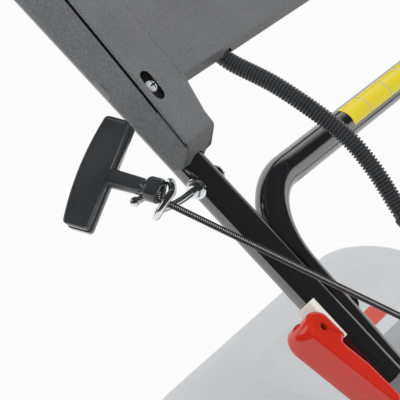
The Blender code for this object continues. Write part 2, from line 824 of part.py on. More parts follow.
def make_upper_handle():
    leg = UPPER_LEG_Y
    top = UPPER_LENGTH
    points = [(-UPPER_TAIL, leg, 0), (top, leg, 0), (top, -leg, 0), (-UPPER_TAIL, -leg, 0)]
    cutters = flats(-UPPER_TAIL - 0.01, FLAT_END, leg, False)
    cutters += cross_holes(0.0, leg, CLAMP_BOLT_R + SHAFT_CLEARANCE)
    cutters += cross_holes(GUIDE_AT, leg, WIRE_R + SHAFT_CLEARANCE, (1,))
    for pivot in (BRAKE_PIVOT, DRIVE_PIVOT):
        for side in (-1, 1):
            inner = side * (leg - TUBE_R - 0.004)
            outer = side * (leg - TUBE_R + BAIL_SOCKET)
            cutters.append(rod((pivot, inner, 0), (pivot, outer, 0), BAIL_R + SHAFT_CLEARANCE, 14))
    handle = handle_tube(UPPER, points, UPPER_BEND_R, cutters)
    keep(handle, "upper_handle", BLACK_ENAMEL)


# The saddle lies between the cam and the upper handle's leg, its hollow side on the tube
def make_saddles():
    hollow = TUBE_R + GAP
    outer = TUBE_R + 0.004
    for name, side in HANDLE_SIDES.items():
        profile = []
        for k in range(11):
            angle = math.radians(-52 + 104 * k / 10)
            profile.append((hollow * math.cos(angle), hollow * math.sin(angle)))
        profile += [(0.0085, 0.0122), (0.0125, 0.0125), (outer, 0.0095)]
        profile += [(outer, -0.0095), (0.0125, -0.0125), (0.0085, -0.0122)]
        outline = [(side * (UPPER_LEG_Y + q), n) for q, n in profile]
        saddle = as_mesh(plate(outline, 2 * SADDLE_HALF_LENGTH, "YZ", 0.0))
        inner = side * UPPER_LEG_Y
        hole = rod((0, inner, 0), (0, inner + side * 0.03, 0), CLAMP_BOLT_R + SHAFT_CLEARANCE, 16)
        keep(set_on(UPPER, as_mesh(cut(saddle, hole))), f"clamp_saddle_{name}", CREAM)


def cam_pivot(side):
    return (0.0, side * (UPPER_LEG_Y + CAM_PIVOT_OUT), 0.0)


# Through bolts of the clamps: eye and cross pin outside, domed nut inside
def make_clamp_bolts():
    inner = LOWER_LEG_Y - TUBE_R - GAP
    for name, side in HANDLE_SIDES.items():
        pivot = cam_pivot(side)
        dome = [
            (0.0, 0.0110), (0.0045, 0.0100), (0.0068, 0.0070), (0.0072, 0.0025), (0.0095, 0.0015),
            (0.0095, 0.0), (0.0, 0.0),
        ]
        nut = as_mesh(turned(dome, (0, side * inner, 0), (0, -side, 0), 12))
        bolt = rod((0, side * (inner - 0.003), 0), pivot, CLAMP_BOLT_R, 12)
        eye_half = CAM_SLOT_HALF - GAP
        eye = rod((0, pivot[1], -eye_half), (0, pivot[1], eye_half), 0.0065, 12)
        pin_half = CAM_HALF_WIDTH + 0.0006
        pin = rod((0, pivot[1], -pin_half), (0, pivot[1], pin_half), CAM_PIN_R, 10)
        keep(set_on(UPPER, as_mesh(fuse(bolt, nut, eye, pin))), f"clamp_bolt_{name}", ZINC)


def make_cam_lever(name, side):
    pivot = Vector((0.0, CAM_PIVOT_OUT))
    tip = Vector((-CAM_LENGTH + 0.006, CAM_PIVOT_OUT - 0.008))
    way = (tip - pivot).normalized()
    turn = math.atan2(way.y, way.x)
    outline = []
    for centre, radius in ((pivot, CAM_R), (tip, 0.0058)):
        start = turn + (math.pi / 2 if centre is pivot else -math.pi / 2)
        for k in range(8):
            angle = start + math.pi * k / 7
            outline.append(tuple(centre + Vector((math.cos(angle), math.sin(angle))) * radius))
    outline = [(s, side * (UPPER_LEG_Y + q)) for s, q in outline]
    lever = as_mesh(plate(outline, 2 * CAM_HALF_WIDTH, "XY", 0.0))
    point = cam_pivot(side)
    pin = rod((0, point[1], -0.03), (0, point[1], 0.03), CAM_PIN_R + SHAFT_CLEARANCE, 16)
    edges = sorted((side * UPPER_LEG_Y, side * (UPPER_LEG_Y + CAM_PIVOT_OUT + 0.0075)))
    slot = block((-0.0078, edges[0], -CAM_SLOT_HALF), (0.03, edges[1], CAM_SLOT_HALF))
    lever = set_on(UPPER, as_mesh(cut(lever, pin, slot)))
    place = lever.matrix_basis.copy()
    lever.data.transform(place)
    lever.matrix_basis = Matrix.Identity(4)
    keep(turn_about(lever, tuple(UPPER @ Vector(point))), name, RED_PLASTIC)


def console_top(s):
    return CONSOLE_TOP + CONSOLE_SLOPE * (s - CONSOLE_END)


def console_arm(side):
    arch = [
        (CONSOLE_END, console_top(CONSOLE_END)), (CONSOLE_END - 0.012, 0.008),
        (CONSOLE_END - 0.0075, 0.0), (CONSOLE_BACK, 0.0), (CONSOLE_BACK, console_top(CONSOLE_BACK)),
    ]
    wide = 2 * CONSOLE_ARM_HALF + CONSOLE_FLARE + 0.01
    arm = as_mesh(plate(arch, wide, "XZ", side * (UPPER_LEG_Y - CONSOLE_FLARE / 2)))
    outer = UPPER_LEG_Y + CONSOLE_ARM_HALF
    inner = UPPER_LEG_Y - CONSOLE_ARM_HALF
    plan = [
        (CONSOLE_END - 0.03, side * outer), (CONSOLE_BACK, side * outer),
        (CONSOLE_BACK, side * (inner - CONSOLE_FLARE)), (CONSOLE_END + 0.046, side * (inner - CONSOLE_FLARE)),
        (CONSOLE_END, side * inner), (CONSOLE_END - 0.03, side * inner),
    ]
    boolean(arm, as_mesh(plate(plan, 0.09, "XY", 0.02)), "INTERSECT")
    return as_mesh(arm)


# The cover across the upper handle: two hollow arms over the legs, and a bridge open below
def make_console():
    console = console_arm(1)
    front = BRIDGE_FRONT
    bridge_side = [
        (front + 0.005, BRIDGE_UNDER), (front, 0.023), (front + 0.005, console_top(front) + 0.0002),
        (CONSOLE_BACK, console_top(CONSOLE_BACK)), (CONSOLE_BACK, BRIDGE_UNDER),
    ]
    half = UPPER_LEG_Y - CONSOLE_ARM_HALF - 0.004
    bridge = as_mesh(plate(bridge_side, 2 * half, "XZ", 0.0))
    fuse(console, console_arm(-1), bridge)
    wall = 0.004
    inside = [
        (front + 0.010, -0.03), (CONSOLE_BACK - 0.008, -0.03),
        (CONSOLE_BACK - 0.008, console_top(CONSOLE_BACK) - wall), (front + 0.010, console_top(front) - wall),
    ]
    cutters = [as_mesh(plate(inside, 2 * (half - 0.012), "XZ", 0.0))]
    for side in (-1, 1):
        leg = side * UPPER_LEG_Y
        cutters.append(rod((CONSOLE_END - 0.05, leg, 0), (CONSOLE_BACK + 0.05, leg, 0), TUBE_R + 0.0008, 16))
        edges = sorted((leg + side * 0.014, leg + side * 0.03))
        cutters.append(rod((SCALLOP_AT, edges[0], -0.003), (SCALLOP_AT, edges[1], -0.003), 0.0095, 12))
        well = leg + side * WELL_OUT
        recess = rounded_box((SCREW_AT - 0.012, well - 0.006), (SCREW_AT + 0.012, well + 0.006), 0.0058, 3)
        cutters.append(as_mesh(plate(recess, 0.04, "XY", SCREW_FLOOR + 0.02)))
        screw = leg + side * SCREW_OUT
        cutters.append(rod((SCREW_AT, screw, SCREW_FLOOR - 0.012), (SCREW_AT, screw, 0.03), 0.0022, 12))
    cutters.append(rod((front - 0.02, CONDUIT_SIDE_Q, 0.0195), (front + 0.02, CONDUIT_SIDE_Q, 0.0195), 0.0070, 14))
    slot_at = LEVER_AT
    cutters.append(block((slot_at - 0.028, -LEVER_Y - 0.0022, 0.015), (slot_at + 0.028, -LEVER_Y + 0.0022, 0.06)))
    lugs = []
    for low in (-LEVER_Y - 0.0062, -LEVER_Y + 0.0022):
        lugs.append(block((slot_at - 0.007, low, 0.006), (slot_at + 0.007, low + 0.004, console_top(slot_at) - 0.002)))
    for piece in cutters + lugs:
        set_on(UPPER, piece)
    set_on(UPPER, console)
    # The cutters above were laid out beside the handle, as the cover was
    for other in [step.object for step in console.modifiers]:
        set_on(UPPER, other)
    cut(console, *cutters)
    fuse(console, *lugs)
    pin = rod((slot_at, -LEVER_Y - 0.012, 0.012), (slot_at, -LEVER_Y + 0.012, 0.012), 0.0033, 16)
    cut(console, set_on(UPPER, pin))
    keep(as_mesh(console), "console_shell", GREY_PLASTIC)


def make_console_screws():
    at = SCREW_AT
    high = SCREW_FLOOR + 0.0022
    profile = [
        (0.0, 0.0032), (0.0024, 0.0030), (0.0040, 0.0019), (0.0046, 0.0006), (0.0046, 0.0),
        (0.0018, 0.0), (0.0018, -0.0108), (0.0, -0.0113),
    ]
    for name, side in HANDLE_SIDES.items():
        out = side * (UPPER_LEG_Y + SCREW_OUT)
        screw = as_mesh(turned(profile, (at, out, SCREW_FLOOR + GAP), (0, 0, 1), 10))
        wide = block((at - 0.0026, out - 0.0006, high), (at + 0.0026, out + 0.0006, high + 0.01))
        tall = block((at - 0.0006, out - 0.0026, high), (at + 0.0006, out + 0.0026, high + 0.01))
        keep(set_on(UPPER, as_mesh(cut(screw, wide, tall))), f"console_screw_{name}", ZINC)


def make_bail(name, pivot, rest, inset=0.0):
    reach = BAIL_LENGTH
    half = UPPER_LEG_Y - TUBE_R - 0.010 - inset
    end = UPPER_LEG_Y - TUBE_R + BAIL_SOCKET - 0.001
    points = [
        (0, end, 0), (0, half, 0), (reach, half, 0), (reach, -half, 0), (0, -half, 0), (0, -end, 0),
    ]
    inner = rounded_path(points[1:5], 0.030, 5)
    path = [points[0], *rounded_path([points[0], points[1], points[2]], 0.007, 3)[1:-1]]
    path += [point for point in inner[1:-1]]
    path += [*rounded_path([points[3], points[4], points[5]], 0.007, 3)[1:-1], points[5]]
    turn = Matrix.Rotation(rest, 4, "Y").inverted()
    bail = as_mesh(tube(path, BAIL_R, 1))
    # Lifted off the handle's plane by the rest angle, about the pivot
    bail.data.transform(UPPER @ Matrix.Translation((pivot, 0, 0)) @ turn)
    keep(turn_about(bail, tuple(UPPER @ Vector((pivot, 0, 0)))), name, BLACK_ENAMEL)


def make_lever():
    at = LEVER_AT
    outline = rounded_path(
        [(at - 0.005, 0.0065), (at + 0.005, 0.0065), (at + 0.0035, 0.045), (at + 0.009, 0.066),
         (at - 0.009, 0.066), (at - 0.0035, 0.045)], 0.0025, 2, closed=True,
    )
    lever = as_mesh(plate(outline, 0.0034, "XZ", -LEVER_Y))
    fuse(lever, rod((at, -LEVER_Y - 0.0058, 0.012), (at, -LEVER_Y + 0.0058, 0.012), 0.003, 10))
    lever = as_mesh(lever)
    lever.data.transform(UPPER)
    keep(turn_about(lever, tuple(UPPER @ Vector((at, -LEVER_Y, 0.012)))), "throttle_lever", RED_PLASTIC)


def make_grip():
    length = GRIP_HALF_LENGTH
    bore = TUBE_R + GAP
    profile = [(GRIP_R - 0.002, length), (GRIP_R, length - 0.003), (GRIP_R, -length + 0.003)]
    profile += [(GRIP_R - 0.002, -length), (bore, -length), (bore, length)]
    grip = turned(profile, (UPPER_LENGTH, 0, 0), (0, 1, 0), 16, ring=True)
    keep(set_on(UPPER, grip), "handle_grip", RUBBER)


def rope_way():
    return (ROPE_EXIT - ring_centre()).normalized()


def ring_centre():
    return UPPER @ Vector((RING_AT, UPPER_LEG_Y + RING_OUT, RING_UP))


# A wire bolted through the right leg by a nut on either side, wound into an eye square to the rope
def make_rope_guide():
    centre = ring_centre()
    way = rope_way()
    out = Vector((0, -1, 0))
    first = (out - way * out.dot(way)).normalized()
    up = first.cross(way)
    start = UPPER @ Vector((GUIDE_AT, UPPER_LEG_Y - TUBE_R - 0.0075, 0.0))
    leave = UPPER @ Vector((GUIDE_AT, UPPER_LEG_Y + TUBE_R + 0.012, 0.0))
    bottom = centre - up * RING_R
    join = bottom - first * 0.006
    path = [start, leave]
    for k in range(1, 5):
        share = k / 5
        ease = share * share * (3 - 2 * share)
        point = leave.lerp(join, share)
        straight = leave + out * (leave - join).length * share
        path.append(straight.lerp(point, ease))
    path.append(join)
    sweep = math.radians(300)
    for k in range(16):
        share = k / 15
        angle = -math.pi / 2 + sweep * share
        ring = first * math.cos(angle) + up * math.sin(angle)
        path.append(centre + ring * RING_R - way * RING_RISE * share * share)
    wire = as_mesh(tube([tuple(point) for point in path], WIRE_R, 2))
    builder = bmesh.new()
    bmesh.ops.create_icosphere(builder, subdivisions=2, radius=0.0040)
    bmesh.ops.translate(builder, vec=path[-1], verts=builder.verts)
    fuse(wire, object_of(builder))
    for side, face in ((1, UPPER_LEG_Y + TUBE_R + GAP), (-1, UPPER_LEG_Y - TUBE_R - GAP)):
        near = (GUIDE_AT, face, 0)
        far = (GUIDE_AT, face + side * 0.0014, 0)
        flange = rod(near, far, 0.0078, 12)
        nut = as_mesh(plate(hexagon((GUIDE_AT, 0), 0.0098), 0.0046, "XZ", face + side * 0.0033))
        fuse(wire, set_on(UPPER, flange), set_on(UPPER, nut))
    keep(as_mesh(wire), "rope_guide", ZINC)


def pull_frame():
    way = rope_way()
    bar = Vector(BAR_WAY)
    bar = (bar - way * bar.dot(way)).normalized()
    face = bar.cross(-way)
    turn = Matrix((bar, -way, face)).transposed().to_4x4()
    return Matrix.Translation(ring_centre()) @ turn


# The T handle: a crowned bar, a neck and a collar that rests on the guide's eye
def make_starter_handle():
    half = BAR_LENGTH / 2
    near = NECK_LENGTH - 0.002
    far = near + BAR_WIDTH
    crown = [(half * (1 - 2 * k / 6), far - 0.0035 * (1 - 2 * k / 6) ** 2) for k in range(7)]
    outline = [(-half, near), (half, near), *crown]
    bar = as_mesh(plate(outline, BAR_THICKNESS, "XY", 0.0))
    round_edges(bar, 0.0028, 1)
    bar = as_mesh(bar)
    low = COLLAR_LENGTH + 0.002
    profile = [
        (0.0, NECK_LENGTH + 0.004), (0.0072, NECK_LENGTH + 0.004), (0.0068, NECK_LENGTH - 0.003),
        (NECK_R, low + 0.006), (NECK_R, low + 0.001), (COLLAR_R - 0.001, low), (COLLAR_R, low - 0.002),
        (COLLAR_R, 0.0035), (COLLAR_R - 0.0015, 0.002), (0.0, 0.002),
    ]
    stem = as_mesh(turned(profile, (0, 0, 0), (0, 1, 0), 14))
    bore = rod((0, -0.005, 0), (0, far + 0.01, 0), ROPE_R + 0.0005, 12)
    knot = rod((0, far - 0.009, 0), (0, far + 0.01, 0), 0.0055, 14)
    frame = pull_frame()
    for piece in (bar, stem, bore, knot):
        set_on(frame, piece)
    handle = as_mesh(cut(fuse(bar, stem), bore, knot))
    keep(turn_about(handle, tuple(ring_centre())), "starter_handle", GLOSS_PLASTIC)


def make_rope():
    centre = ring_centre()
    way = rope_way()
    reel = REEL_Z
    angle = math.atan2(way.y, way.x) - math.pi / 2
    coil = []
    for k in range(4):
        turn = angle + math.radians(16 * k - 4)
        coil.append((ENGINE_X + REEL_WIND * math.cos(turn), REEL_WIND * math.sin(turn), reel))
    points = [
        centre - way * (NECK_LENGTH + 0.004), centre, centre.lerp(ROPE_EXIT, 0.5),
        ROPE_EXIT - way * 0.02, ROPE_EXIT, ROPE_EXIT + way * 0.014, ROPE_EXIT + way * 0.024, *coil,
    ]
    route = smooth_route(points, 56)
    rope = tube([tuple(point) for point in route], ROPE_R, 1)
    keep(rope, "starter_rope", BRAID)


def conduit_route(count):
    points = [
        UPPER @ Vector((BRIDGE_FRONT + 0.014, CONDUIT_SIDE_Q, 0.0195)),
        UPPER @ Vector((BRIDGE_FRONT - 0.004, CONDUIT_SIDE_Q, 0.0205)),
        UPPER @ Vector((0.150, CONDUIT_SIDE_Q, 0.0370)),
        UPPER @ Vector((0.096, CONDUIT_SIDE_Q, 0.0500)),
        UPPER @ Vector((0.060, CONDUIT_SIDE_Q, 0.0490)),
        UPPER @ Vector((0.024, CONDUIT_SIDE_Q, 0.0410)),
        Vector((-0.4170, -0.1203, 0.5932)),
    ]
    return smooth_route(points, count)


# Corrugated hose round the control cables, with a plain cuff at either end
def make_conduit():
    ribs = 2 * CONDUIT_RIBS
    route = conduit_route(ribs + 5)
    radii = []
    for k in range(len(route)):
        rib = CONDUIT_R if k % 2 else CONDUIT_R - CONDUIT_GROOVE
        radii.append(1.0 if k < 3 or k > ribs + 1 else rib / CONDUIT_R)
    hose = as_mesh(tube([tuple(point) for point in route], CONDUIT_R, 2, radii))
    long_route = conduit_route(14)
    first = long_route[0] * 2 - long_route[1]
    last = long_route[-1] * 2 - long_route[-2]
    bore = as_mesh(tube([tuple(point) for point in (first, *long_route, last)], CONDUIT_BORE_R, 1))
    cut(hose, bore)
    keep(as_mesh(hose), "cable_conduit", BLACK_PLASTIC)


# A twin cable leaves the hose and parts: one half for the drive, one for the engine's brake
def make_cables():
    hose = conduit_route(14)
    inside = [hose[-2], hose[-1]]
    offset = Vector((0, 0.0014, 0))
    drive = [*(point - offset for point in inside), Vector((-0.335, -0.132, 0.519))]
    # Distances in from the inner face of the handle's right leg, which the cables run beside
    leg = LOWER_LEG_Y - TUBE_R
    drive += [Vector((x, inward - leg, z)) for x, inward, z in (
        (-0.262, 0.035, 0.455), (CABLE_BEND_X, 0.022, 0.412),
        (-0.175, 0.0165, 0.376), (-0.110, 0.0145, 0.325), (-0.060, 0.014, 0.280),
    )]
    drive += [
        Vector((CABLE_AT[0], -CHUTE_HALF_WIDTH - 0.004, CABLE_AT[1])),
        Vector((CABLE_AT[0], -CHUTE_HALF_WIDTH + 0.006, CABLE_AT[1])),
    ]
    block_rear = ENGINE_X - BLOCK_HALF_X - 2 * GAP
    brake = [*(point + offset for point in inside), Vector((-0.335, -0.129, 0.521))]
    brake += [Vector((x, inward - leg, z)) for x, inward, z in (
        (-0.262, 0.039, 0.458), (CABLE_BEND_X, 0.026, 0.415),
        (-0.170, 0.021, 0.380), (-0.095, 0.0195, 0.338), (0.0, 0.024, 0.290),
    )]
    brake += [
        Vector((0.080, -0.120, 0.235)), Vector((0.150, -0.070, 0.215)),
        Vector((block_rear - 0.01, -0.045, 0.210)), Vector((block_rear, -0.044, 0.210)),
    ]
    lines = []
    for points in (drive, brake):
        # The last length is straight, through the wall that the cable enters
        route = [*smooth_route(points[:-1], 17), points[-1]]
        lines.append(as_mesh(tube([tuple(point) for point in route], CABLE_R, 1)))
    keep(as_mesh(fuse(*lines)), "control_cables", RUBBER)


def make_block():
    foot = DECK_TOP_Z + GAP
    engine = block(
        (ENGINE_X - BLOCK_HALF_X, -BLOCK_HALF_Y, foot), (ENGINE_X + BLOCK_HALF_X, BLOCK_HALF_Y, BLOCK_TOP_Z),
    )
    others = [block((ENGINE_X - 0.094, -0.094, BLOCK_TOP_Z - 0.008), (ENGINE_X + 0.094, 0.094, BLOCK_TOP_Z + 0.0005))]
    reach = COWL_TOP_Z - COWL_WALL - GAP
    for x in (-0.083, 0.083):
        for y in (-0.083, 0.083):
            others.append(rod((ENGINE_X + x, y, BLOCK_TOP_Z - 0.004), (ENGINE_X + x, y, reach), 0.0065, 8))
    others.append(block((ENGINE_X + 0.05, -0.034, 0.194), (CYLINDER_FRONT_X, 0.034, 0.229)))
    for k in range(5):
        x = ENGINE_X + BLOCK_HALF_X + 0.0100 + 0.0180 * k
        others.append(block((x, -CYLINDER_HALF_Y, 0.188), (x + 0.0030, CYLINDER_HALF_Y, 0.2312)))
    others.append(rod(OIL_FROM, OIL_TO, 0.0085, 14))
    fuse(engine, *others)
    bore = rod(
        (ENGINE_X, 0, foot - 0.01), (ENGINE_X, 0, BLOCK_TOP_Z + 0.02), CRANKSHAFT_R + SHAFT_CLEARANCE + 0.0002, 18,
    )
    way = (Vector(OIL_TO) - Vector(OIL_FROM)).normalized()
    filler = rod(Vector(OIL_TO) - way * 0.025, Vector(OIL_TO) + way * 0.01, 0.0058, 12)
    cut(engine, bore, filler)
    keep(as_mesh(engine), "engine_block", ALLOY)


def make_oil_cap():
    way = (Vector(OIL_TO) - Vector(OIL_FROM)).normalized()
    profile = [
        (0.0, 0.013), (0.0115, 0.013), (0.0130, 0.0115), (0.0130, 0.0), (0.0054, 0.0),
        (0.0054, -0.014), (0.0, -0.014),
    ]
    cap = turned(profile, Vector(OIL_TO) + way * GAP, way, 16)
    keep(cap, "oil_cap", BLACK_PLASTIC)


def cowl_ring(inset):
    low = (COWL_BACK_X + inset, -COWL_HALF_Y + inset)
    high = (COWL_FRONT_X - inset, COWL_HALF_Y - inset)
    return rounded_box(low, high, 0.050 - inset, 3)


def make_cowl():
    levels = [(0.0, COWL_BOTTOM_Z), (0.001, COWL_TOP_Z - 0.016), (0.005, COWL_TOP_Z - 0.004), (0.012, COWL_TOP_Z)]
    rings = [[(x, y, z) for x, y in cowl_ring(inset)] for inset, z in levels]
    cowl = skin(rings, COWL_WALL)
    low = COWL_TOP_Z - 0.02
    cut(cowl, rod((ENGINE_X, 0, low), (ENGINE_X, 0, low + 0.04), COWL_HOLE_R, 20))
    for k in range(5):
        x = 0.392 + 0.010 * k
        cut(cowl, block((x, -0.045, low), (x + 0.005, 0.045, low + 0.04)))
    keep(as_mesh(cowl), "engine_cowl", BLACK_PLASTIC)


# Air inlet slots through the starter cover's top, as one cutter
def radial_slots(count, inner, outer, low, high):
    builder = bmesh.new()
    for k in range(count):
        made = bmesh.ops.create_cube(builder, size=1.0)["verts"]
        bmesh.ops.scale(builder, vec=(outer - inner, 0.0055, high - low), verts=made)
        bmesh.ops.translate(builder, vec=((inner + outer) / 2, 0, (low + high) / 2), verts=made)
        turn = Matrix.Rotation(2 * math.pi * k / count, 4, "Z")
        bmesh.ops.transform(builder, matrix=turn, verts=made)
    bmesh.ops.translate(builder, vec=(ENGINE_X, 0, 0), verts=builder.verts)
    return object_of(builder)


def make_recoil_cover():
    low = COWL_TOP_Z + GAP
    wall = STARTER_WALL
    top = STARTER_TOP_Z
    post = REEL_Z - REEL_HALF - 0.0012
    profile = [
        (0.0, top), (0.078, top), (0.094, top - 0.012), (STARTER_R, top - 0.036), (STARTER_R, low),
        (STARTER_R - wall, low), (STARTER_R - wall, top - 0.0365), (0.0918, top - 0.0137),
        (0.0770, top - wall), (REEL_POST_R, top - wall), (REEL_POST_R, post), (0.0, post),
    ]
    cover = as_mesh(turned(profile, (ENGINE_X, 0, 0), (0, 0, 1), 20))
    way = rope_way()
    fuse(cover, rod(ROPE_EXIT, ROPE_EXIT + way * 0.018, 0.0095, 14))
    eye = rod(ROPE_EXIT - way * 0.01, ROPE_EXIT + way * 0.03, ROPE_R + 0.0012, 10)
    cut(cover, eye, radial_slots(8, 0.034, 0.070, top - 0.02, top + 0.01))
    keep(as_mesh(cover), "recoil_cover", BLACK_PLASTIC)


def make_reel():
    half = REEL_HALF
    bore = REEL_POST_R + GAP
    profile = [
        (REEL_R, half), (REEL_R, half - 0.002), (REEL_WIND - 0.0045, half - 0.0025),
        (REEL_WIND - 0.0045, -half + 0.0025), (REEL_R, -half + 0.002), (REEL_R, -half), (bore, -half), (bore, half),
    ]
    keep(turned(profile, (ENGINE_X, 0, REEL_Z), (0, 0, 1), 14, ring=True), "starter_reel", BLACK_PLASTIC)


def make_crank():
    bottom = BLADE_Z + BLADE_SHEET / 2 + GAP
    crank = rod((ENGINE_X, 0, bottom), (ENGINE_X, 0, CRANK_TOP_Z), CRANKSHAFT_R, 14)
    pulley = pulley_profile(DRIVE_PULLEY_R, 0.0)
    pulley[-2:] = [(0.017, -0.0065), (0.017, bottom - BELT_Z + 0.004), (0.0, bottom - BELT_Z + 0.004)]
    pulley = [(0.0, 0.0065), *pulley]
    fuse(crank, as_mesh(turned(pulley, (ENGINE_X, 0, BELT_Z), (0, 0, 1), 14)))
    cut(crank, rod((ENGINE_X, 0, bottom - 0.01), (ENGINE_X, 0, bottom + 0.022), 0.0050, 12))
    keep(turn_about(as_mesh(crank), (ENGINE_X, 0, bottom)), "crankshaft", STEEL)
    bore = CRANKSHAFT_R + GAP
    wheel = [
        (0.026, 0.014), (0.050, 0.006), (FLYWHEEL_R - 0.004, 0.012), (FLYWHEEL_R, 0.012),
        (FLYWHEEL_R, -0.012), (FLYWHEEL_R - 0.010, -0.012), (FLYWHEEL_R - 0.014, -0.004),
        (bore, -0.010), (bore, 0.014),
    ]
    keep(turned(wheel, (ENGINE_X, 0, FLYWHEEL_Z + 0.012), (0, 0, 1), 18, ring=True), "flywheel", ALLOY)


def pulley_profile(groove, bore):
    rim = groove + BELT_DEPTH
    return [
        (rim, 0.0065), (rim, 0.0052), (groove, BELT_WIDTH / 2 + GAP), (groove, -BELT_WIDTH / 2 - GAP),
        (rim, -0.0052), (rim, -0.0065), (bore, -0.0065), (bore, 0.0065),
    ]


# Ground edges on the blade's leading sides are bevelled by its outline being cut on the slant
def make_blade():
    long_half = BLADE_HALF_LENGTH
    wide = BLADE_HALF_WIDTH
    outline = [
        (-long_half, -wide), (-long_half + 0.085, -wide), (-0.060, -wide * 0.8), (0.060, -wide * 0.8),
        (long_half - 0.085, -wide * 0.8), (long_half, -wide * 0.6), (long_half, wide),
        (long_half - 0.085, wide), (0.060, wide * 0.8), (-0.060, wide * 0.8),
        (-long_half + 0.085, wide * 0.8), (-long_half, wide * 0.6),
    ]
    hole = circle((0, 0), 0.0053)
    blade = as_mesh(plate(outline, BLADE_SHEET, "XY", 0.0, [hole]))
    blade.data.transform(Matrix.Translation((ENGINE_X, 0, BLADE_Z)) @ Matrix.Rotation(math.radians(90), 4, "Z"))
    keep(turn_about(blade, (ENGINE_X, 0, BLADE_Z)), "blade", STEEL)
    low = BLADE_Z - BLADE_SHEET / 2 - GAP
    shank = rod((ENGINE_X, 0, low - 0.004), (ENGINE_X, 0, low + 0.022), 0.0047, 12)
    washer = rod((ENGINE_X, 0, low - 0.0025), (ENGINE_X, 0, low), 0.013, 16)
    head = as_mesh(plate(hexagon((ENGINE_X, 0), 0.017), 0.0070, "XY", low - 0.0055))
    keep(turn_about(as_mesh(fuse(shank, washer, head)), (ENGINE_X, 0, low)), "blade_bolt", ZINC)


def make_tank():
    tank = block((TANK_BACK_X, TANK_INNER_Y, TANK_BOTTOM_Z), (TANK_FRONT_X, TANK_OUTER_Y, TANK_TOP_Z))
    round_edges(tank, 0.014, 2)
    tank = as_mesh(tank)
    inset = 0.0035
    inside = block(
        (TANK_BACK_X + inset, TANK_INNER_Y + inset, TANK_BOTTOM_Z + inset),
        (TANK_FRONT_X - inset, TANK_OUTER_Y - inset, TANK_TOP_Z - inset),
    )
    round_edges(inside, 0.011, 1)
    middle = (TANK_INNER_Y + TANK_OUTER_Y) / 2
    neck = rod((CAP_X, middle, TANK_TOP_Z - 0.003), (CAP_X, middle, TANK_TOP_Z + 0.012), 0.0175, 16)
    mouth = rod((CAP_X, middle, TANK_TOP_Z - 0.02), (CAP_X, middle, TANK_TOP_Z + 0.02), 0.0145, 14)
    foot = block((0.240, BLOCK_HALF_Y + GAP, TANK_BOTTOM_Z - 0.001), (0.300, TANK_INNER_Y + 0.003, TANK_BOTTOM_Z + 0.008))
    tank = cut(fuse(tank, neck, foot), as_mesh(inside), mouth)
    keep(as_mesh(tank), "fuel_tank", BLACK_PLASTIC)
    base = TANK_TOP_Z + GAP
    profile = [
        (0.0, 0.019), (0.0205, 0.019), (CAP_R, 0.016), (CAP_R, 0.0), (0.0182, 0.0),
        (0.0182, 0.0135), (0.0, 0.0135),
    ]
    keep(turned(profile, (CAP_X, middle, base), (0, 0, 1), 16), "fuel_cap", BLACK_PLASTIC)


def make_exhaust():
    muffler = block((0.304, -0.168, 0.186), (0.404, -0.124, 0.2335))
    round_edges(muffler, 0.012, 1)
    muffler = as_mesh(muffler)
    stub = rod((0.318, -BLOCK_HALF_Y - GAP, 0.208), (0.318, -0.130, 0.208), 0.0105, 12)
    fuse(muffler, stub)
    for k in range(5):
        x = 0.330 + 0.011 * k
        cut(muffler, block((x, -0.18, 0.200), (x + 0.004, -0.1655, 0.220)))
    keep(as_mesh(muffler), "muffler", STEEL)


def make_air_filter():
    cover = block((0.360, 0.074, 0.186), (0.440, 0.132, 0.2345))
    round_edges(cover, 0.008, 1)
    cover = as_mesh(cover)
    stub = rod((0.392, CYLINDER_HALF_Y + GAP, 0.210), (0.392, 0.080, 0.210), 0.0100, 12)
    fuse(cover, stub)
    cut(cover, rod((0.412, 0.126, 0.210), (0.412, 0.14, 0.210), 0.0118, 16))
    keep(as_mesh(cover), "air_filter_cover", BLACK_PLASTIC)
    bulb = [
        (0.0, 0.0095), (0.0045, 0.0088), (0.0082, 0.0065), (0.0102, 0.0030), (0.0112, 0.0),
        (0.0112, -0.0010), (0.0, -0.0010),
    ]
    keep(turned(bulb, (0.412, 0.1316, 0.210), (0, 1, 0), 16), "primer_bulb", RUBBER)


def make_spark_boot():
    start = (CYLINDER_FRONT_X + GAP, 0.012, 0.2115)
    corner = (CYLINDER_FRONT_X + 0.026, 0.012, 0.2115)
    end = (CYLINDER_FRONT_X + 0.026, 0.046, 0.2115)
    boot = as_mesh(tube(rounded_path([start, corner, end], 0.012, 4), 0.0075, 2))
    keep(boot, "spark_plug_boot", RUBBER)


def make_gearbox():
    foot = (0.0, 0.0, REAR_WHEEL_R)
    box = block(
        (-GEARBOX_HALF_X, -GEARBOX_HALF_Y, GEARBOX_BOTTOM_Z), (GEARBOX_HALF_X, GEARBOX_HALF_Y, GEARBOX_TOP_Z),
    )
    round_edges(box, 0.006, 1)
    box = as_mesh(box)
    hub = rod((0, -GEARBOX_HALF_Y - 0.012, REAR_WHEEL_R), (0, GEARBOX_HALF_Y + 0.012, REAR_WHEEL_R), 0.016, 14)
    stem = rod((0, 0, GEARBOX_TOP_Z - 0.004), (0, 0, BELT_Z + 0.0058), 0.0055, 20)
    fuse(box, hub, stem)
    wide = GEARBOX_HALF_Y + 0.02
    cut(box, rod((0, -wide, REAR_WHEEL_R), (0, wide, REAR_WHEEL_R), AXLE_R + SHAFT_CLEARANCE + 0.0003, 12))
    keep(turn_about(as_mesh(box), foot), "gearbox", ALLOY)
    pulley = turned(pulley_profile(GEARBOX_PULLEY_R, 0.0058), (0, 0, BELT_Z), (0, 0, 1), 14, ring=True)
    keep(pulley, "gearbox_pulley", STEEL)


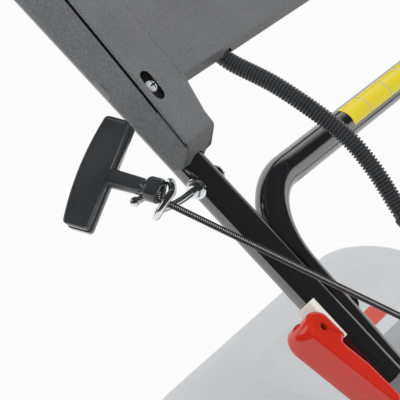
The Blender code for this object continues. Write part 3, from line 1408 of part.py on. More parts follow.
def belt_loop(rear, front, distance):
    tilt = math.acos((rear - front) / distance)
    loop = []
    for k in range(13):
        angle = tilt + (2 * math.pi - 2 * tilt) * k / 12
        loop.append((rear * math.cos(angle), rear * math.sin(angle)))
    for k in range(13):
        angle = -tilt + 2 * tilt * k / 12
        loop.append((distance + front * math.cos(angle), front * math.sin(angle)))
    return loop


def make_belt():
    clear = 0.0009
    inner = belt_loop(GEARBOX_PULLEY_R + clear, DRIVE_PULLEY_R + clear, ENGINE_X)
    deep = BELT_DEPTH + clear - 0.0004
    outer = belt_loop(GEARBOX_PULLEY_R + deep, DRIVE_PULLEY_R + deep, ENGINE_X)
    keep(as_mesh(plate(outer, BELT_WIDTH, "XY", BELT_Z, [inner])), "drive_belt", RUBBER)


# Upright lever beside the left wheel, fast on the carrier's arm
def make_height_lever():
    pivot = (REAR_PIVOT_FORWARD, REAR_WHEEL_R + REAR_PIVOT_UP)
    level = CRANK_ARM_Y + ARM_THICKNESS / 2 + GAP + 0.0015
    outline = rounded_path(
        [(pivot[0] - 0.013, pivot[1] - 0.011), (pivot[0] + 0.013, pivot[1] - 0.011),
         (pivot[0] + 0.008, LEVER_TOP_Z), (pivot[0] - 0.008, LEVER_TOP_Z)], 0.0055, 4, closed=True,
    )
    lever = as_mesh(plate(outline, 0.003, "XZ", level))
    knob = rod(
        (pivot[0], level - 0.0012, LEVER_TOP_Z - 0.008), (pivot[0], level + LEVER_KNOB, LEVER_TOP_Z - 0.008), 0.0105, 18,
    )
    fuse(lever, knob)
    keep(turn_about(as_mesh(lever), (pivot[0], 0, pivot[1])), "height_lever", BLACK_PLASTIC)


def box_ring(rear, front, inset, reverse=False):
    spread = (BOX_REAR_HALF - BOX_FRONT_HALF) / (BOX_FRONT_X - BOX_REAR_X)
    front_half = BOX_FRONT_HALF + spread * (BOX_FRONT_X - front) - inset
    rear_half = BOX_REAR_HALF - inset
    corners = [
        (rear + inset, -rear_half), (front - inset, -front_half), (front - inset, front_half),
        (rear + inset, rear_half),
    ]
    ring = rounded_path(corners, [0.045, 0.022, 0.022, 0.045], 4, closed=True)
    return ring[::-1] if reverse else ring


def make_box_base():
    levels = [
        (0.0, BOX_RIM_Z), (0.003, BOX_RIM_Z - 0.06), (0.010, BOX_BOTTOM_Z + 0.030),
        (0.022, BOX_BOTTOM_Z + 0.008), (0.036, BOX_BOTTOM_Z),
    ]
    rings = []
    for inset, z in levels:
        ring = box_ring(BOX_REAR_X, BOX_FRONT_X + inset * 0.97, inset, reverse=True)
        rings.append([(x, y, z) for x, y in ring])
    base = skin(rings, BOX_WALL)
    mouth = block((BOX_FRONT_X - 0.02, -MOUTH_HALF, 0.186), (BOX_FRONT_X + 0.02, MOUTH_HALF, 0.300))
    cut(base, mouth)
    keep(as_mesh(base), "grass_box_base", BLACK_PLASTIC)


# The pale lid: a dome with rounded borders, and a flat lip in front for the flap to rest on
def make_box_lid():
    base = BOX_RIM_Z + GAP
    front = LIP_END_X
    levels = [
        (0.0, base), (0.0, 0.356), (0.005, 0.381), (0.016, 0.401), (0.038, 0.4165), (0.070, LID_TOP_Z),
    ]
    rings = []
    for inset, z in levels:
        ring = box_ring(BOX_REAR_X, front + inset * 0.4, inset)
        rings.append([(x, y, z) for x, y in ring])
    lid = skin(rings, BOX_WALL)
    lip = block((front - 0.012, -LIP_HALF, base), (BOX_FRONT_X, LIP_HALF, LIP_Z), 0.0012)
    hollow = block((front - 0.03, -LIP_HALF - 0.002, base - 0.02), (front - 0.0035, LIP_HALF + 0.002, 0.34))
    cutout = block((GRIP_X - GRIP_TRAY_X, -GRIP_TRAY_Y, LID_TOP_Z - 0.064), (GRIP_X + GRIP_TRAY_X, GRIP_TRAY_Y, LID_TOP_Z + 0.036))
    fuse(lid, as_mesh(lip))
    cut(lid, cutout, hollow)
    keep(as_mesh(lid), "grass_box_lid", PALE_PLASTIC)


def make_lid_handle():
    tray = block(
        (GRIP_X - GRIP_TRAY_X + GAP, -GRIP_TRAY_Y + GAP, LID_TOP_Z - 0.038),
        (GRIP_X + GRIP_TRAY_X - GAP, GRIP_TRAY_Y - GAP, LID_TOP_Z + 0.008),
    )
    flange = block(
        (GRIP_X - GRIP_TRAY_X - 0.010, -GRIP_TRAY_Y - 0.010, LID_TOP_Z + GAP),
        (GRIP_X + GRIP_TRAY_X + 0.010, GRIP_TRAY_Y + 0.010, LID_TOP_Z + 0.013),
    )
    round_edges(flange, 0.004, 1)
    bar = rod((GRIP_X, -GRIP_TRAY_Y + 0.004, 0.4245), (GRIP_X, GRIP_TRAY_Y - 0.004, 0.4245), 0.0085, 20)
    pocket = block(
        (GRIP_X - GRIP_TRAY_X + 0.006, -GRIP_TRAY_Y + 0.007, 0.3892),
        (GRIP_X + GRIP_TRAY_X - 0.006, GRIP_TRAY_Y - 0.007, 0.47),
    )
    handle = cut(fuse(tray, as_mesh(flange)), pocket)
    fuse(handle, bar)
    keep(as_mesh(handle), "lid_handle", RED_PLASTIC)


make_wheels()
make_front_axle()
make_rear_carrier()
make_rear_axle()
make_deck()
make_chute()
make_flap()
make_brackets()
make_handle_bolts()
make_lower_handle()
make_upper_handle()
make_saddles()
make_clamp_bolts()
make_cam_lever("cam_lever_right", 1)
make_cam_lever("cam_lever_left", -1)
make_console()
make_console_screws()
make_bail("brake_bail", BRAKE_PIVOT, BRAKE_BAIL_REST)
make_bail("drive_bail", DRIVE_PIVOT, DRIVE_BAIL_REST, DRIVE_BAIL_INSET)
make_lever()
make_grip()
make_rope_guide()
make_starter_handle()
make_rope()
make_conduit()
make_cables()
make_block()
make_oil_cap()
make_cowl()
make_recoil_cover()
make_reel()
make_crank()
make_blade()
make_tank()
make_exhaust()
make_air_filter()
make_spark_boot()
make_gearbox()
make_belt()
make_height_lever()
make_box_base()
make_box_lid()
make_lid_handle()

# The finished mower moves as one, so that the middle of its footprint is the origin
FRAME.location = (ORIGIN_X, 0.0, 0.0)
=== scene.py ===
"""Self-propelled lawn mower with a folding handle, pull starter and rear grass box.

Metres, +X forwards, +Y to the mower's left, +Z up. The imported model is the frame.
"""

import math

import bmesh
import bpy
from mathutils import Matrix, Vector


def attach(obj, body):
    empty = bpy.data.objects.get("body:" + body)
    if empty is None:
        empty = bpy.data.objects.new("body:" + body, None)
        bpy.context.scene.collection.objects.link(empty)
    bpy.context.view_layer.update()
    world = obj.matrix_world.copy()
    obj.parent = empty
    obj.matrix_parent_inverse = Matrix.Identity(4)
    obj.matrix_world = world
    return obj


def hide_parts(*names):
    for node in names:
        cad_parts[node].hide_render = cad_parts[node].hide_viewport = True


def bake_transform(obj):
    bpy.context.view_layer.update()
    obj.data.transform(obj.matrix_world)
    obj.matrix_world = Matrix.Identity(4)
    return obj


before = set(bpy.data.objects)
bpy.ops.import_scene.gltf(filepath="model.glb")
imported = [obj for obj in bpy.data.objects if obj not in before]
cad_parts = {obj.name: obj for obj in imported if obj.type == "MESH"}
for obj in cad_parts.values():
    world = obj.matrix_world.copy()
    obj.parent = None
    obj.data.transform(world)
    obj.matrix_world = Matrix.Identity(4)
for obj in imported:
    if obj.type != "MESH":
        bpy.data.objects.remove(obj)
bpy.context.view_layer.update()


# Camera, floor and studio light. The camera looks down on the right side of the handle from
# the front right. A white floor and walls stand round the mower, with a dark opening behind
# the camera, so that black enamel shows pale edges and a dark middle.
EYE = Vector((0.29331, -1.4165, 1.2657))
LOOK = Vector((-0.4407, 0.7919, -0.4226)).normalized()
ACROSS = Vector((0.8738, 0.4863, 0.0)).normalized()
LENS_MM = 192.24


# A frame from its origin and its three axes
def frame_at(origin, x, y, z):
    return Matrix.Translation(origin) @ Matrix((x, y, z)).transposed().to_4x4()


camera = bpy.data.objects.new("camera", bpy.data.cameras.new("camera"))
camera.matrix_world = frame_at(EYE, ACROSS, ACROSS.cross(LOOK), -LOOK)
camera.data.lens = LENS_MM
camera.data.sensor_width = 36.0
camera.data.clip_end = 60.0
bpy.context.scene.collection.objects.link(camera)
bpy.context.scene.camera = camera
bpy.context.scene.view_settings.view_transform = "Standard"


# Gives a node its inputs, each a value or the socket that feeds it
def feed(tree, node, inputs):
    for name, value in inputs.items():
        if isinstance(value, bpy.types.NodeSocket):
            tree.links.new(value, node.inputs[name])
        else:
            node.inputs[name].default_value = value


# Adds a node, its settings first and then its inputs
def add(tree, kind, inputs=None, **settings):
    node = tree.nodes.new(kind)
    for name, value in settings.items():
        setattr(node, name, value)
    feed(tree, node, inputs or {})
    return node


def maths(tree, operation, *values):
    return add(tree, "ShaderNodeMath", dict(enumerate(values)), operation=operation).outputs[0]


# A value moved from one range onto another
def remap(tree, value, before, after=(0.0, 1.0)):
    ends = {"From Min": before[0], "From Max": before[1], "To Min": after[0], "To Max": after[1]}
    return add(tree, "ShaderNodeMapRange", {"Value": value, **ends}).outputs["Result"]


def shaded(tree, factor, first, second):
    inputs = {0: factor, 1: first.outputs[0], 2: second.outputs[0]}
    return add(tree, "ShaderNodeMixShader", inputs)


def axes_of(tree, output):
    where = add(tree, "ShaderNodeTexCoord").outputs[output]
    return where, add(tree, "ShaderNodeSeparateXYZ", {0: where}).outputs


def light_the_walls():
    world = bpy.data.worlds.new("studio")
    world.use_nodes = True
    tree = world.node_tree
    tree.nodes.clear()
    rays = add(tree, "ShaderNodeLightPath").outputs
    way, axes = axes_of(tree, "Generated")
    facing = add(tree, "ShaderNodeVectorMath", {0: way, 1: tuple(-LOOK)}, operation="DOT_PRODUCT")
    raised = remap(tree, axes["Z"], (0.08, 0.30), (0.0, 0.25))
    behind = maths(tree, "ADD", facing.outputs["Value"], raised)
    room = remap(tree, behind, (-0.30, -0.12), (1.0, 0.035))
    even = remap(tree, axes["Z"], (-0.2, 0.7), (0.35, 1.15))
    level = add(tree, "ShaderNodeMix", {"Factor": rays["Is Diffuse Ray"], "A": room, "B": even})
    walls = add(tree, "ShaderNodeBackground", {"Color": level.outputs["Result"]})
    backdrop = add(tree, "ShaderNodeBackground", {"Color": (1, 1, 1, 1)})
    straight = maths(tree, "ADD", rays["Is Camera Ray"], rays["Is Transmission Ray"])
    seen = shaded(tree, straight, walls, backdrop)
    add(tree, "ShaderNodeOutputWorld", {"Surface": seen.outputs[0]})
    bpy.context.scene.world = world


def hang_lamp(name, place, aim, size, watts, glossy):
    lamp = bpy.data.lights.new(name, "AREA")
    lamp.shape = "RECTANGLE"
    lamp.size, lamp.size_y = size
    lamp.energy = watts
    obj = bpy.data.objects.new(name, lamp)
    obj.matrix_world = Matrix.Translation(place) @ (
        (Vector(aim) - Vector(place)).to_track_quat("-Z", "Y").to_matrix().to_4x4()
    )
    obj.visible_glossy = glossy
    bpy.context.scene.collection.objects.link(obj)


def lay_floor():
    far = 20.0
    corners = [(-far, -far, 0), (far, -far, 0), (far, far, 0), (-far, far, 0)]
    mesh = bpy.data.meshes.new("floor")
    mesh.from_pydata(corners, [], [(0, 1, 2, 3)])
    paint = bpy.data.materials.new("floor_paint")
    paint.use_nodes = True
    tree = paint.node_tree
    tree.nodes.clear()
    rays = add(tree, "ShaderNodeLightPath").outputs
    front = remap(tree, axes_of(tree, "Object")[1]["Y"], (-1.95, -1.85), (0.04, 1.0))
    matt = add(tree, "ShaderNodeBsdfDiffuse", {"Color": (0.55, 0.55, 0.55, 1)})
    white = add(tree, "ShaderNodeEmission")
    table = add(tree, "ShaderNodeEmission", {"Strength": front})
    seen = shaded(tree, maths(tree, "MULTIPLY", rays["Is Camera Ray"], 0.92), matt, white)
    mirrored = shaded(tree, rays["Is Glossy Ray"], seen, table)
    add(tree, "ShaderNodeOutputMaterial", {"Surface": mirrored.outputs[0]})
    mesh.materials.append(paint)
    obj = bpy.data.objects.new("floor", mesh)
    bpy.context.scene.collection.objects.link(obj)


light_the_walls()
lay_floor()
hang_lamp("key", (0.6, -1.5, 3.2), (-0.25, 0.0, 0.5), (1.8, 1.2), 25.0, False)
hang_lamp("side", (-2.6, -1.4, 1.5), (-0.3, 0.0, 0.5), (1.0, 1.8), 8.0, True)


# Upper handle: 25 mm steel tube bent to a U, enamelled gloss black. Its two legs are pressed
# flat on the inside where they lie against the lower handle.
OFFSET_X = 0.166306
UPPER_SLOPE = math.radians(39.2)
TUBE_R = 0.0125
UPPER_LEG = 0.2145
UPPER_LENGTH = 0.690
FLAT_FACE = 0.2085
ENAMEL_BLACK = (0.010, 0.010, 0.011)


# A place measured from above the rear wheels' axis, in the frame
def on_mower(x, y, z):
    return Vector((x + OFFSET_X, y, z))


CLAMP = on_mower(-0.4357, 0.0, 0.5565)


# A shader group of plain numbers: its inputs with their usual values, and its outputs
def group_of(name, inputs, outputs):
    tree = bpy.data.node_groups.new(name, "ShaderNodeTree")
    kind = "NodeSocketFloat"
    for label, value in inputs.items():
        socket = tree.interface.new_socket(name=label, in_out="INPUT", socket_type=kind)
        socket.default_value = value
    for label in outputs:
        tree.interface.new_socket(name=label, in_out="OUTPUT", socket_type=kind)
    return tree, tree.nodes.new("NodeGroupInput").outputs, tree.nodes.new("NodeGroupOutput").inputs


# Small uneven grain: a height for the bump, and a speck mask that varies colour and gloss
def grain_group():
    scales = {"Scale": 800.0, "Patch Scale": 30.0}
    tree, given, out = group_of("surface_grain", scales, ["Height", "Patches"])
    where = add(tree, "ShaderNodeTexCoord").outputs["Object"]
    for scale, detail, result in (("Scale", 2.0, "Height"), ("Patch Scale", 4.0, "Patches")):
        inputs = {"Vector": where, "Scale": given[scale], "Detail": detail}
        tree.links.new(add(tree, "ShaderNodeTexNoise", inputs).outputs["Fac"], out[result])
    return tree


# Short fine scratches and scuffs from use, as a mask
def scuff_group():
    tree, given, out = group_of("scuffs", {"Scale": 60.0, "Threshold": 0.62}, ["Mask"])
    where = add(tree, "ShaderNodeTexCoord").outputs["Object"]
    drawn = {"Vector": where, "Rotation": (0.4, 0.9, 0.7), "Scale": (1.0, 9.0, 1.0)}
    stretch = add(tree, "ShaderNodeMapping", drawn).outputs["Vector"]
    noise = {"Vector": stretch, "Scale": given["Scale"], "Detail": 6.0, "Roughness": 0.7}
    marks = add(tree, "ShaderNodeTexNoise", noise).outputs["Fac"]
    edge = given["Threshold"]
    mask = remap(tree, marks, (edge, maths(tree, "ADD", edge, 0.08)))
    tree.links.new(mask, out["Mask"])
    return tree


GRAIN = grain_group()
SCUFFS = scuff_group()


def blended(tree, factor, first, second):
    inputs = {"Factor": factor, "A": first, "B": second}
    return add(tree, "ShaderNodeMix", inputs, data_type="RGBA").outputs["Result"]


# Where most of a noise texture's values lie, and how deep a bump of full strength is
NOISE_SPREAD = (0.3, 0.7)
BUMP_DEPTH = 0.0004
COAT_ROUGHNESS = 0.06


# A finish: a base colour with patches and scuffs, a roughness range, and a fine bump
def finish(name, colour, rough, metallic=0.0, grain=900.0, bump=0.0, patch=25.0, patchy=0.15,
           scuff=None, scuff_colour=(0.2, 0.2, 0.2), coat=0.0, specular=0.5, ior=1.5, speck=0.0):
    material = bpy.data.materials.new(name)
    material.use_nodes = True
    tree = material.node_tree
    shader = tree.nodes["Principled BSDF"]
    scales = {"Scale": grain, "Patch Scale": patch}
    texture = add(tree, "ShaderNodeGroup", scales, node_tree=GRAIN)
    patches, fine = texture.outputs["Patches"], texture.outputs["Height"]
    darker = [value * (1 - patchy) for value in colour]
    lighter = [min(1.0, value * (1 + patchy)) for value in colour]
    paint = blended(tree, patches, (*darker, 1), (*lighter, 1))
    if speck:
        share = remap(tree, fine, NOISE_SPREAD, (1 - speck, 1 + speck))
        dotted = add(tree, "ShaderNodeVectorMath", {0: paint, "Scale": share}, operation="SCALE")
        paint = dotted.outputs["Vector"]
    if scuff:
        worn = {"Scale": scuff[0], "Threshold": scuff[1]}
        marks = add(tree, "ShaderNodeGroup", worn, node_tree=SCUFFS)
        paint = blended(tree, marks.outputs["Mask"], paint, (*scuff_colour, 1))
    feed(tree, shader, {
        "Base Color": paint, "Roughness": remap(tree, patches, NOISE_SPREAD, rough),
        "Metallic": metallic, "Coat Weight": coat, "Coat Roughness": COAT_ROUGHNESS,
        "Specular IOR Level": specular, "IOR": ior,
    })
    if bump:
        raised = {"Strength": bump, "Distance": BUMP_DEPTH, "Height": fine}
        relief = add(tree, "ShaderNodeBump", raised)
        feed(tree, shader, {"Normal": relief.outputs["Normal"]})
    return material


black_enamel = finish(
    "black_enamel", ENAMEL_BLACK, (0.05, 0.08), grain=250.0, bump=0.006, scuff=(70.0, 0.78),
    scuff_colour=(0.04, 0.04, 0.04), specular=1.0, ior=1.8,
)


def handle_frame(slope):
    along = Vector((-math.cos(slope), 0.0, math.sin(slope)))
    off = Vector((math.sin(slope), 0.0, math.cos(slope)))
    return frame_at(CLAMP, along, (0.0, -1.0, 0.0), off)


UPPER = handle_frame(UPPER_SLOPE)


# A clean mesh: doubles merged and every face turned outwards
def clean_mesh(name, points, faces):
    builder = bmesh.new()
    vertices = [builder.verts.new(point) for point in points]
    for face in faces:
        corners = []
        for index in face:
            if vertices[index] not in corners:
                corners.append(vertices[index])
        if len(corners) > 2:
            builder.faces.new(corners)
    bmesh.ops.remove_doubles(builder, verts=builder.verts, dist=0.000002)
    bmesh.ops.dissolve_degenerate(builder, dist=0.000001, edges=builder.edges)
    bmesh.ops.recalc_face_normals(builder, faces=builder.faces)
    mesh = bpy.data.meshes.new(name)
    builder.to_mesh(mesh)
    builder.free()
    return mesh


# Points and quads over a row of rings, where the last row may join the first
def skin(rings, closed=True, round_again=False):
    rows, count = len(rings), len(rings[0])
    faces = []
    for row in range(rows if round_again else rows - 1):
        here, beyond = row * count, (row + 1) % rows * count
        for k in range(count if closed else count - 1):
            after = (k + 1) % count
            faces.append((here + k, here + after, beyond + after, beyond + k))
    return [point for ring in rings for point in ring], faces


# Rings of points as a mesh, with or without a cap at each end
def loft(name, rings, capped=True):
    points, faces = skin(rings)
    count = len(rings[0])
    if capped:
        faces.append(list(range(count))[::-1])
        faces.append([len(points) - count + k for k in range(count)])
    return clean_mesh(name, points, faces)


def show(name, mesh, material, body, nodes=(), angle=32.0):
    obj = bpy.data.objects.new(name, mesh)
    bpy.context.scene.collection.objects.link(obj)
    mesh.name = name
    if material:
        mesh.materials.clear()
        mesh.materials.append(material)
    mesh.shade_smooth()
    mesh.set_sharp_from_angle(angle=math.radians(angle))
    flat = {key for face in mesh.polygons if len(face.vertices) > 8 for key in face.edge_keys}
    for edge in mesh.edges:
        if edge.key in flat:
            edge.use_edge_sharp = True
    if body:
        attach(obj, body)
    if nodes:
        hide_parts(*nodes)
    return obj


# A path or outline with its corners rounded by arcs
def rounded(points, radius, steps=8, closed=False):
    corners = [Vector(point) for point in points]
    count = len(corners)
    path = []
    for index, corner in enumerate(corners):
        if not closed and index in (0, count - 1):
            path.append(corner)
            continue
        bend = radius[index] if isinstance(radius, (list, tuple)) else radius
        before = (corners[index - 1] - corner).normalized()
        after = (corners[(index + 1) % count] - corner).normalized()
        half = before.angle(after) / 2
        centre = corner + (before + after).normalized() * bend / math.sin(half)
        start = corner + before * bend / math.tan(half) - centre
        sweep = math.pi - 2 * half
        end = corner + after * bend / math.tan(half) - centre
        across = (end - start * math.cos(sweep)) / math.sin(sweep)
        for step in range(steps + 1):
            turn = sweep * step / steps
            path.append(centre + start * math.cos(turn) + across * math.sin(turn))
    return path


def thickened(points, most):
    dense = [points[0]]
    for first, second in zip(points, points[1:]):
        parts = max(1, math.ceil((second - first).length / most))
        dense += [first.lerp(second, k / parts) for k in range(1, parts + 1)]
    return dense


def ways_along(path):
    last = len(path) - 1
    return [
        (path[min(i + 1, last)] - path[max(i - 1, 0)]).normalized() for i in range(last + 1)
    ]


# A bent tube in a handle's plane, its wall pressed in at the flat faces of its legs
def handle_tube(name, place, corners, bend, press):
    wall = 0.0016
    inside = TUBE_R - wall
    lip = [(0.012, inside), (0.0006, inside), (0.0, inside + 0.0005), (0.0, TUBE_R - 0.0006),
           (0.0006, TUBE_R)]
    path = thickened(rounded(corners, bend, 20), 0.012)
    ways = ways_along(path)

    def ring_at(i, depth, radius):
        side = Vector((-ways[i].y, ways[i].x, 0))
        ring = []
        for k in range(48):
            turn = 2 * math.pi * k / 48
            out = side * math.cos(turn) * radius + Vector((0, 0, math.sin(turn) * radius))
            ring.append(place @ press(path[i] + ways[i] * depth + out))
        return ring

    last = len(path) - 1
    rings = [ring_at(0, depth, radius) for depth, radius in lip]
    rings += [ring_at(i, 0.0, TUBE_R) for i in range(1, last)]
    rings += [ring_at(last, -depth, radius) for depth, radius in lip[::-1]]
    return loft(name, rings)


def press_upper(at):
    side = 1 if at.y > 0 else -1
    limit = FLAT_FACE + 0.00015 - max(0.0, at.x - 0.118) * 0.5
    if at.x < 0.132 and side * at.y < limit:
        at = Vector((at.x, side * limit, at.z))
    return at


# A handle's U from one leg's end to the other's
def handle_corners(near, far, leg):
    return [(near, leg, 0), (far, leg, 0), (far, -leg, 0), (near, -leg, 0)]


upper_corners = handle_corners(-0.060, UPPER_LENGTH, UPPER_LEG)
upper_tube = handle_tube("upper_handle_tube", UPPER, upper_corners, 0.060, press_upper)
show("upper_handle_tube", upper_tube, black_enamel, "upper_handle", ["upper_handle"])


# Lower handle: the same tube bent to a second U. Its crossbar lies inside the upper handle's
# legs, which fold about the clamps in its flattened tops.
LOWER_SLOPE = math.radians(41.6)
LOWER_LEG = 0.2025
LOWER_CROSSBAR = 0.1025
LOWER_END = -0.5369
LOWER = handle_frame(LOWER_SLOPE)


def press_lower(at):
    side = 1 if at.y > 0 else -1
    limit = FLAT_FACE - 0.00015 + max(0.0, -0.075 - at.x) * 0.5
    if -0.089 < at.x < 0.125 and side * at.y > limit:
        at = Vector((at.x, side * limit, at.z))
    return at


lower_corners = handle_corners(LOWER_END, LOWER_CROSSBAR, LOWER_LEG)
lower_tube = handle_tube("lower_handle_tube", LOWER, lower_corners, 0.062, press_lower)
show("lower_handle_tube", lower_tube, black_enamel, "mower", ["lower_handle"])


# Foil on the crossbar: a plain yellow film wrapped round the upper part of the tube, with thin
# dark lines between its fields.
FOIL_NEAR, FOIL_FAR = 0.0459, -0.115
FOIL_LINES = [0.0152, -0.0224, -0.0557, -0.0880]
LINE_HALF, LINE_EDGE = 0.0007, 0.00005


# Lays a second colour over a finish where a mask is 1
def overlaid(material, mask, colour):
    tree = material.node_tree
    shader = tree.nodes["Principled BSDF"]
    base = shader.inputs["Base Color"].links[0].from_socket
    feed(tree, shader, {"Base Color": blended(tree, mask, base, (*colour, 1))})
    return material


def foil_paint():
    material = finish("yellow_foil", (0.70, 0.57, 0.010), (0.20, 0.28), grain=1500.0, bump=0.02,
                      patchy=0.05, speck=0.02)
    divider = add(material.node_tree, "ShaderNodeAttribute", attribute_name="divider")
    return overlaid(material, divider.outputs["Fac"], (0.42, 0.41, 0.36))


# Points along an arc, its ends in degrees
def arc(centre, radius, start, end, steps):
    turns = [math.radians(start + (end - start) * k / steps) for k in range(steps + 1)]
    x, y = centre
    return [(x + radius * math.cos(turn), y + radius * math.sin(turn)) for turn in turns]


def make_foil():
    stations = [FOIL_NEAR, FOIL_FAR]
    for line in FOIL_LINES:
        for half in (LINE_HALF + LINE_EDGE, LINE_HALF):
            stations += [line + half, line - half]
    stations = sorted(stations, reverse=True)
    points, faces = [], []
    steps = 20
    for radius in (TUBE_R + 0.00022, TUBE_R + 0.00004):
        for q in stations:
            film = arc((LOWER_CROSSBAR, 0.0), radius, 34, 122, steps)
            points += [LOWER @ Vector((x, q, z)) for x, z in film]
    wide, rows = steps + 1, len(stations)
    inner = rows * wide
    for j in range(rows - 1):
        for k in range(steps):
            a = j * wide + k
            b = inner + a
            faces += [(a, a + 1, a + wide + 1, a + wide), (b, b + wide, b + wide + 1, b + 1)]
        a = j * wide
        b = a + steps
        faces += [(a, a + wide, inner + a + wide, inner + a),
                  (b, inner + b, inner + b + wide, b + wide)]
    for k in range(steps):
        a, b = k, (rows - 1) * wide + k
        faces += [(a, inner + a, inner + a + 1, a + 1), (b, b + 1, inner + b + 1, inner + b)]
    mesh = clean_mesh("crossbar_foil", points, faces)
    level = mesh.attributes.new("divider", "FLOAT", "POINT")
    for k, vertex in enumerate(mesh.vertices):
        q = (LOWER.inverted() @ vertex.co).y
        level.data[k].value = float(any(abs(q - line) < 0.00072 for line in FOIL_LINES))
    show("crossbar_foil", mesh, foil_paint(), "mower")


make_foil()


# Cover over the middle of the upper handle: moulded in dark grey plastic with a fine grain, an
# arm over either leg and a bridge between them, held down by a screw in a deep oval well.
ARM_FRONT = 0.1465
LEG_COVER_END = 0.1585
LEG_COVER_BACK = 0.345
LEG_COVER_HALF = 0.0205
LEG_COVER_FLARE = 0.0105
BRIDGE_FRONT = 0.194
BRIDGE_LOW = 0.0088
LEVER_AT, LEVER_Q = 0.262, 0.050
HOSE_Q = 0.120
WELL_AT = 0.2040
WELL_FLOOR = 0.0283
WELL_OUT = 0.0108
SCREW_OUT = 0.0096
SCALLOP_AT = 0.2265

grey_plastic = finish("grained_grey_plastic", (0.140, 0.142, 0.146), (0.38, 0.52), grain=1100.0,
                      bump=0.5, patch=18.0, patchy=0.20, scuff=(45.0, 0.70),
                      scuff_colour=(0.24, 0.24, 0.25), speck=0.30)
# Near-black finish painted into the wells, the seam grooves, the lever's slot, the hose's hole,
# the screw's cross and the rod's hollow ends, as the shade inside them
painted_shade_black = finish("painted_shade_black", (0.012, 0.012, 0.013), (0.4, 0.5), grain=900.0, bump=0.1)


def cover_top(s):
    return 0.0283 + 0.075 * (s - LEG_COVER_END)


def circle(centre, radius, steps):
    return arc(centre, radius, 0, 360, steps)[:-1]


def rectangle(low, high):
    return [low, (high[0], low[1]), high, (low[0], high[1])]


def rounded_box(low, high, bend, steps):
    return rounded(rectangle(low, high), bend, steps, closed=True)


def on_upper(s, q, n):
    return UPPER @ Vector((s, q, n))


# Places beside one leg of the upper handle, q outwards from its axis
def on_leg(side):
    return lambda s, q, n: on_upper(s, side * (UPPER_LEG + q), n)


# One arm's section, q outwards from the leg and n up, drawn in by an edge allowance
def arm_section(s, shrink):
    flare = LEG_COVER_FLARE * min(1.0, max(0.0, (s - LEG_COVER_END) / 0.046))
    top = cover_top(s) - shrink
    out = LEG_COVER_HALF - shrink
    inn = LEG_COVER_HALF + flare - shrink
    outer = [
        (out - 0.0030, shrink), (out - 0.0012, shrink + 0.0004), (out - 0.0002, shrink + 0.0020),
        (out, shrink + 0.006), (out, top - 0.0054), (out - 0.0020, top - 0.0051),
        (out - 0.0020, top - 0.0033), (out, top - 0.0030),
        *arc((out - 0.0022, top - 0.0022), 0.0022, 0, 90, 5), (0.006, top), (-0.006, top),
        *arc((-inn + 0.0035, top - 0.0035), 0.0035, 90, 180, 5),
        (-inn, 0.012), (-inn, shrink + 0.002), (-inn + 0.0012, shrink),
    ]
    hollow = arc((0, 0), 0.0133, 0, 180, len(outer) - 1)
    return outer + hollow[::-1]


def arm_end(n):
    knee = 0.008
    return ARM_FRONT + ((knee - max(0.0, n)) * 0.55 if n < knee else (n - knee) * 0.59)


def cover_arm(side):
    length = LEG_COVER_BACK - ARM_FRONT
    stations = [(0.0, 0.0014), (0.0004, 0.0005), (0.0014, 0.0)]
    stations += [(0.012 + 0.006 * k, 0.0) for k in range(9)]
    stations += [(length - 0.0014, 0.0), (length - 0.0004, 0.0005), (length, 0.0014)]
    place = on_leg(side)
    rings = []
    for along, shrink in stations:
        fade = max(0.0, 1 - along / 0.066)
        ring = []
        for q, n in arm_section(ARM_FRONT + along, shrink):
            s = ARM_FRONT + along + (arm_end(n) - ARM_FRONT) * fade
            ring.append(place(min(s, LEG_COVER_BACK), q, n))
        rings.append(ring)
    points, faces = skin(rings)
    count = len(rings[0])
    for base in (0, len(points) - count):
        for k in range(count // 2 - 1):
            end = base + count - 1 - k
            faces.append((base + k, base + k + 1, end - 1, end))
    return clean_mesh("arm", points, faces)


def solid(outline, low, high, to_point, material=None):
    mesh = loft("cutter", [[to_point(x, y, level) for x, y in outline] for level in (low, high)])
    if material:
        mesh.materials.append(material)
    return mesh


def temporary(mesh):
    obj = bpy.data.objects.new("temporary", mesh)
    bpy.context.scene.collection.objects.link(obj)
    return obj


def applied(obj):
    graph = bpy.context.evaluated_depsgraph_get()
    mesh = bpy.data.meshes.new_from_object(obj.evaluated_get(graph))
    bpy.data.objects.remove(obj)
    return mesh


def carve(mesh, cutters):
    obj = temporary(mesh)
    made = []
    for cutter in cutters:
        tool = temporary(cutter)
        made.append(tool)
        step = obj.modifiers.new("carve", "BOOLEAN")
        step.operation = "DIFFERENCE"
        step.solver = "EXACT"
        step.material_mode = "TRANSFER"
        step.object = tool
    bpy.context.view_layer.update()
    result = applied(obj)
    for tool in made:
        bpy.data.objects.remove(tool)
    return result


def make_cover_arms():
    for name, side in (("right", 1), ("left", -1)):
        arm = cover_arm(side)
        arm.materials.append(grey_plastic)
        arm.materials.append(painted_shade_black)
        back = UPPER.inverted()
        # The faces of the seam groove down each arm's outer side take the near-black painted shade
        for face in arm.polygons:
            local = back @ face.center
            deep = side * local.y - UPPER_LEG
            if 0.0183 < deep < 0.02045 and 0.0029 < cover_top(local.x) - local.z < 0.0056:
                face.material_index = 1
        # The oval well's walls and floor take the near-black painted shade from its cutter
        well_at = side * (UPPER_LEG + WELL_OUT)
        oval = rounded_box((WELL_AT - 0.012, well_at - 0.006), (WELL_AT + 0.012, well_at + 0.006),
                           0.0058, 8)
        well = solid(oval, WELL_FLOOR, 0.06, on_upper, painted_shade_black)
        notch = circle((SCALLOP_AT, -0.003), 0.0098, 40)
        place = on_leg(side)
        scallop = solid(notch, 0.0137, 0.03, lambda s, n, q: place(s, q, n), grey_plastic)
        mesh = carve(arm, [well, scallop])
        show(f"cover_arm_{name}", mesh, None, "upper_handle")


def standing(centre, axis):
    turn = Vector(axis).normalized().to_track_quat("Z", "Y")
    return Matrix.Translation(centre) @ turn.to_matrix().to_4x4()


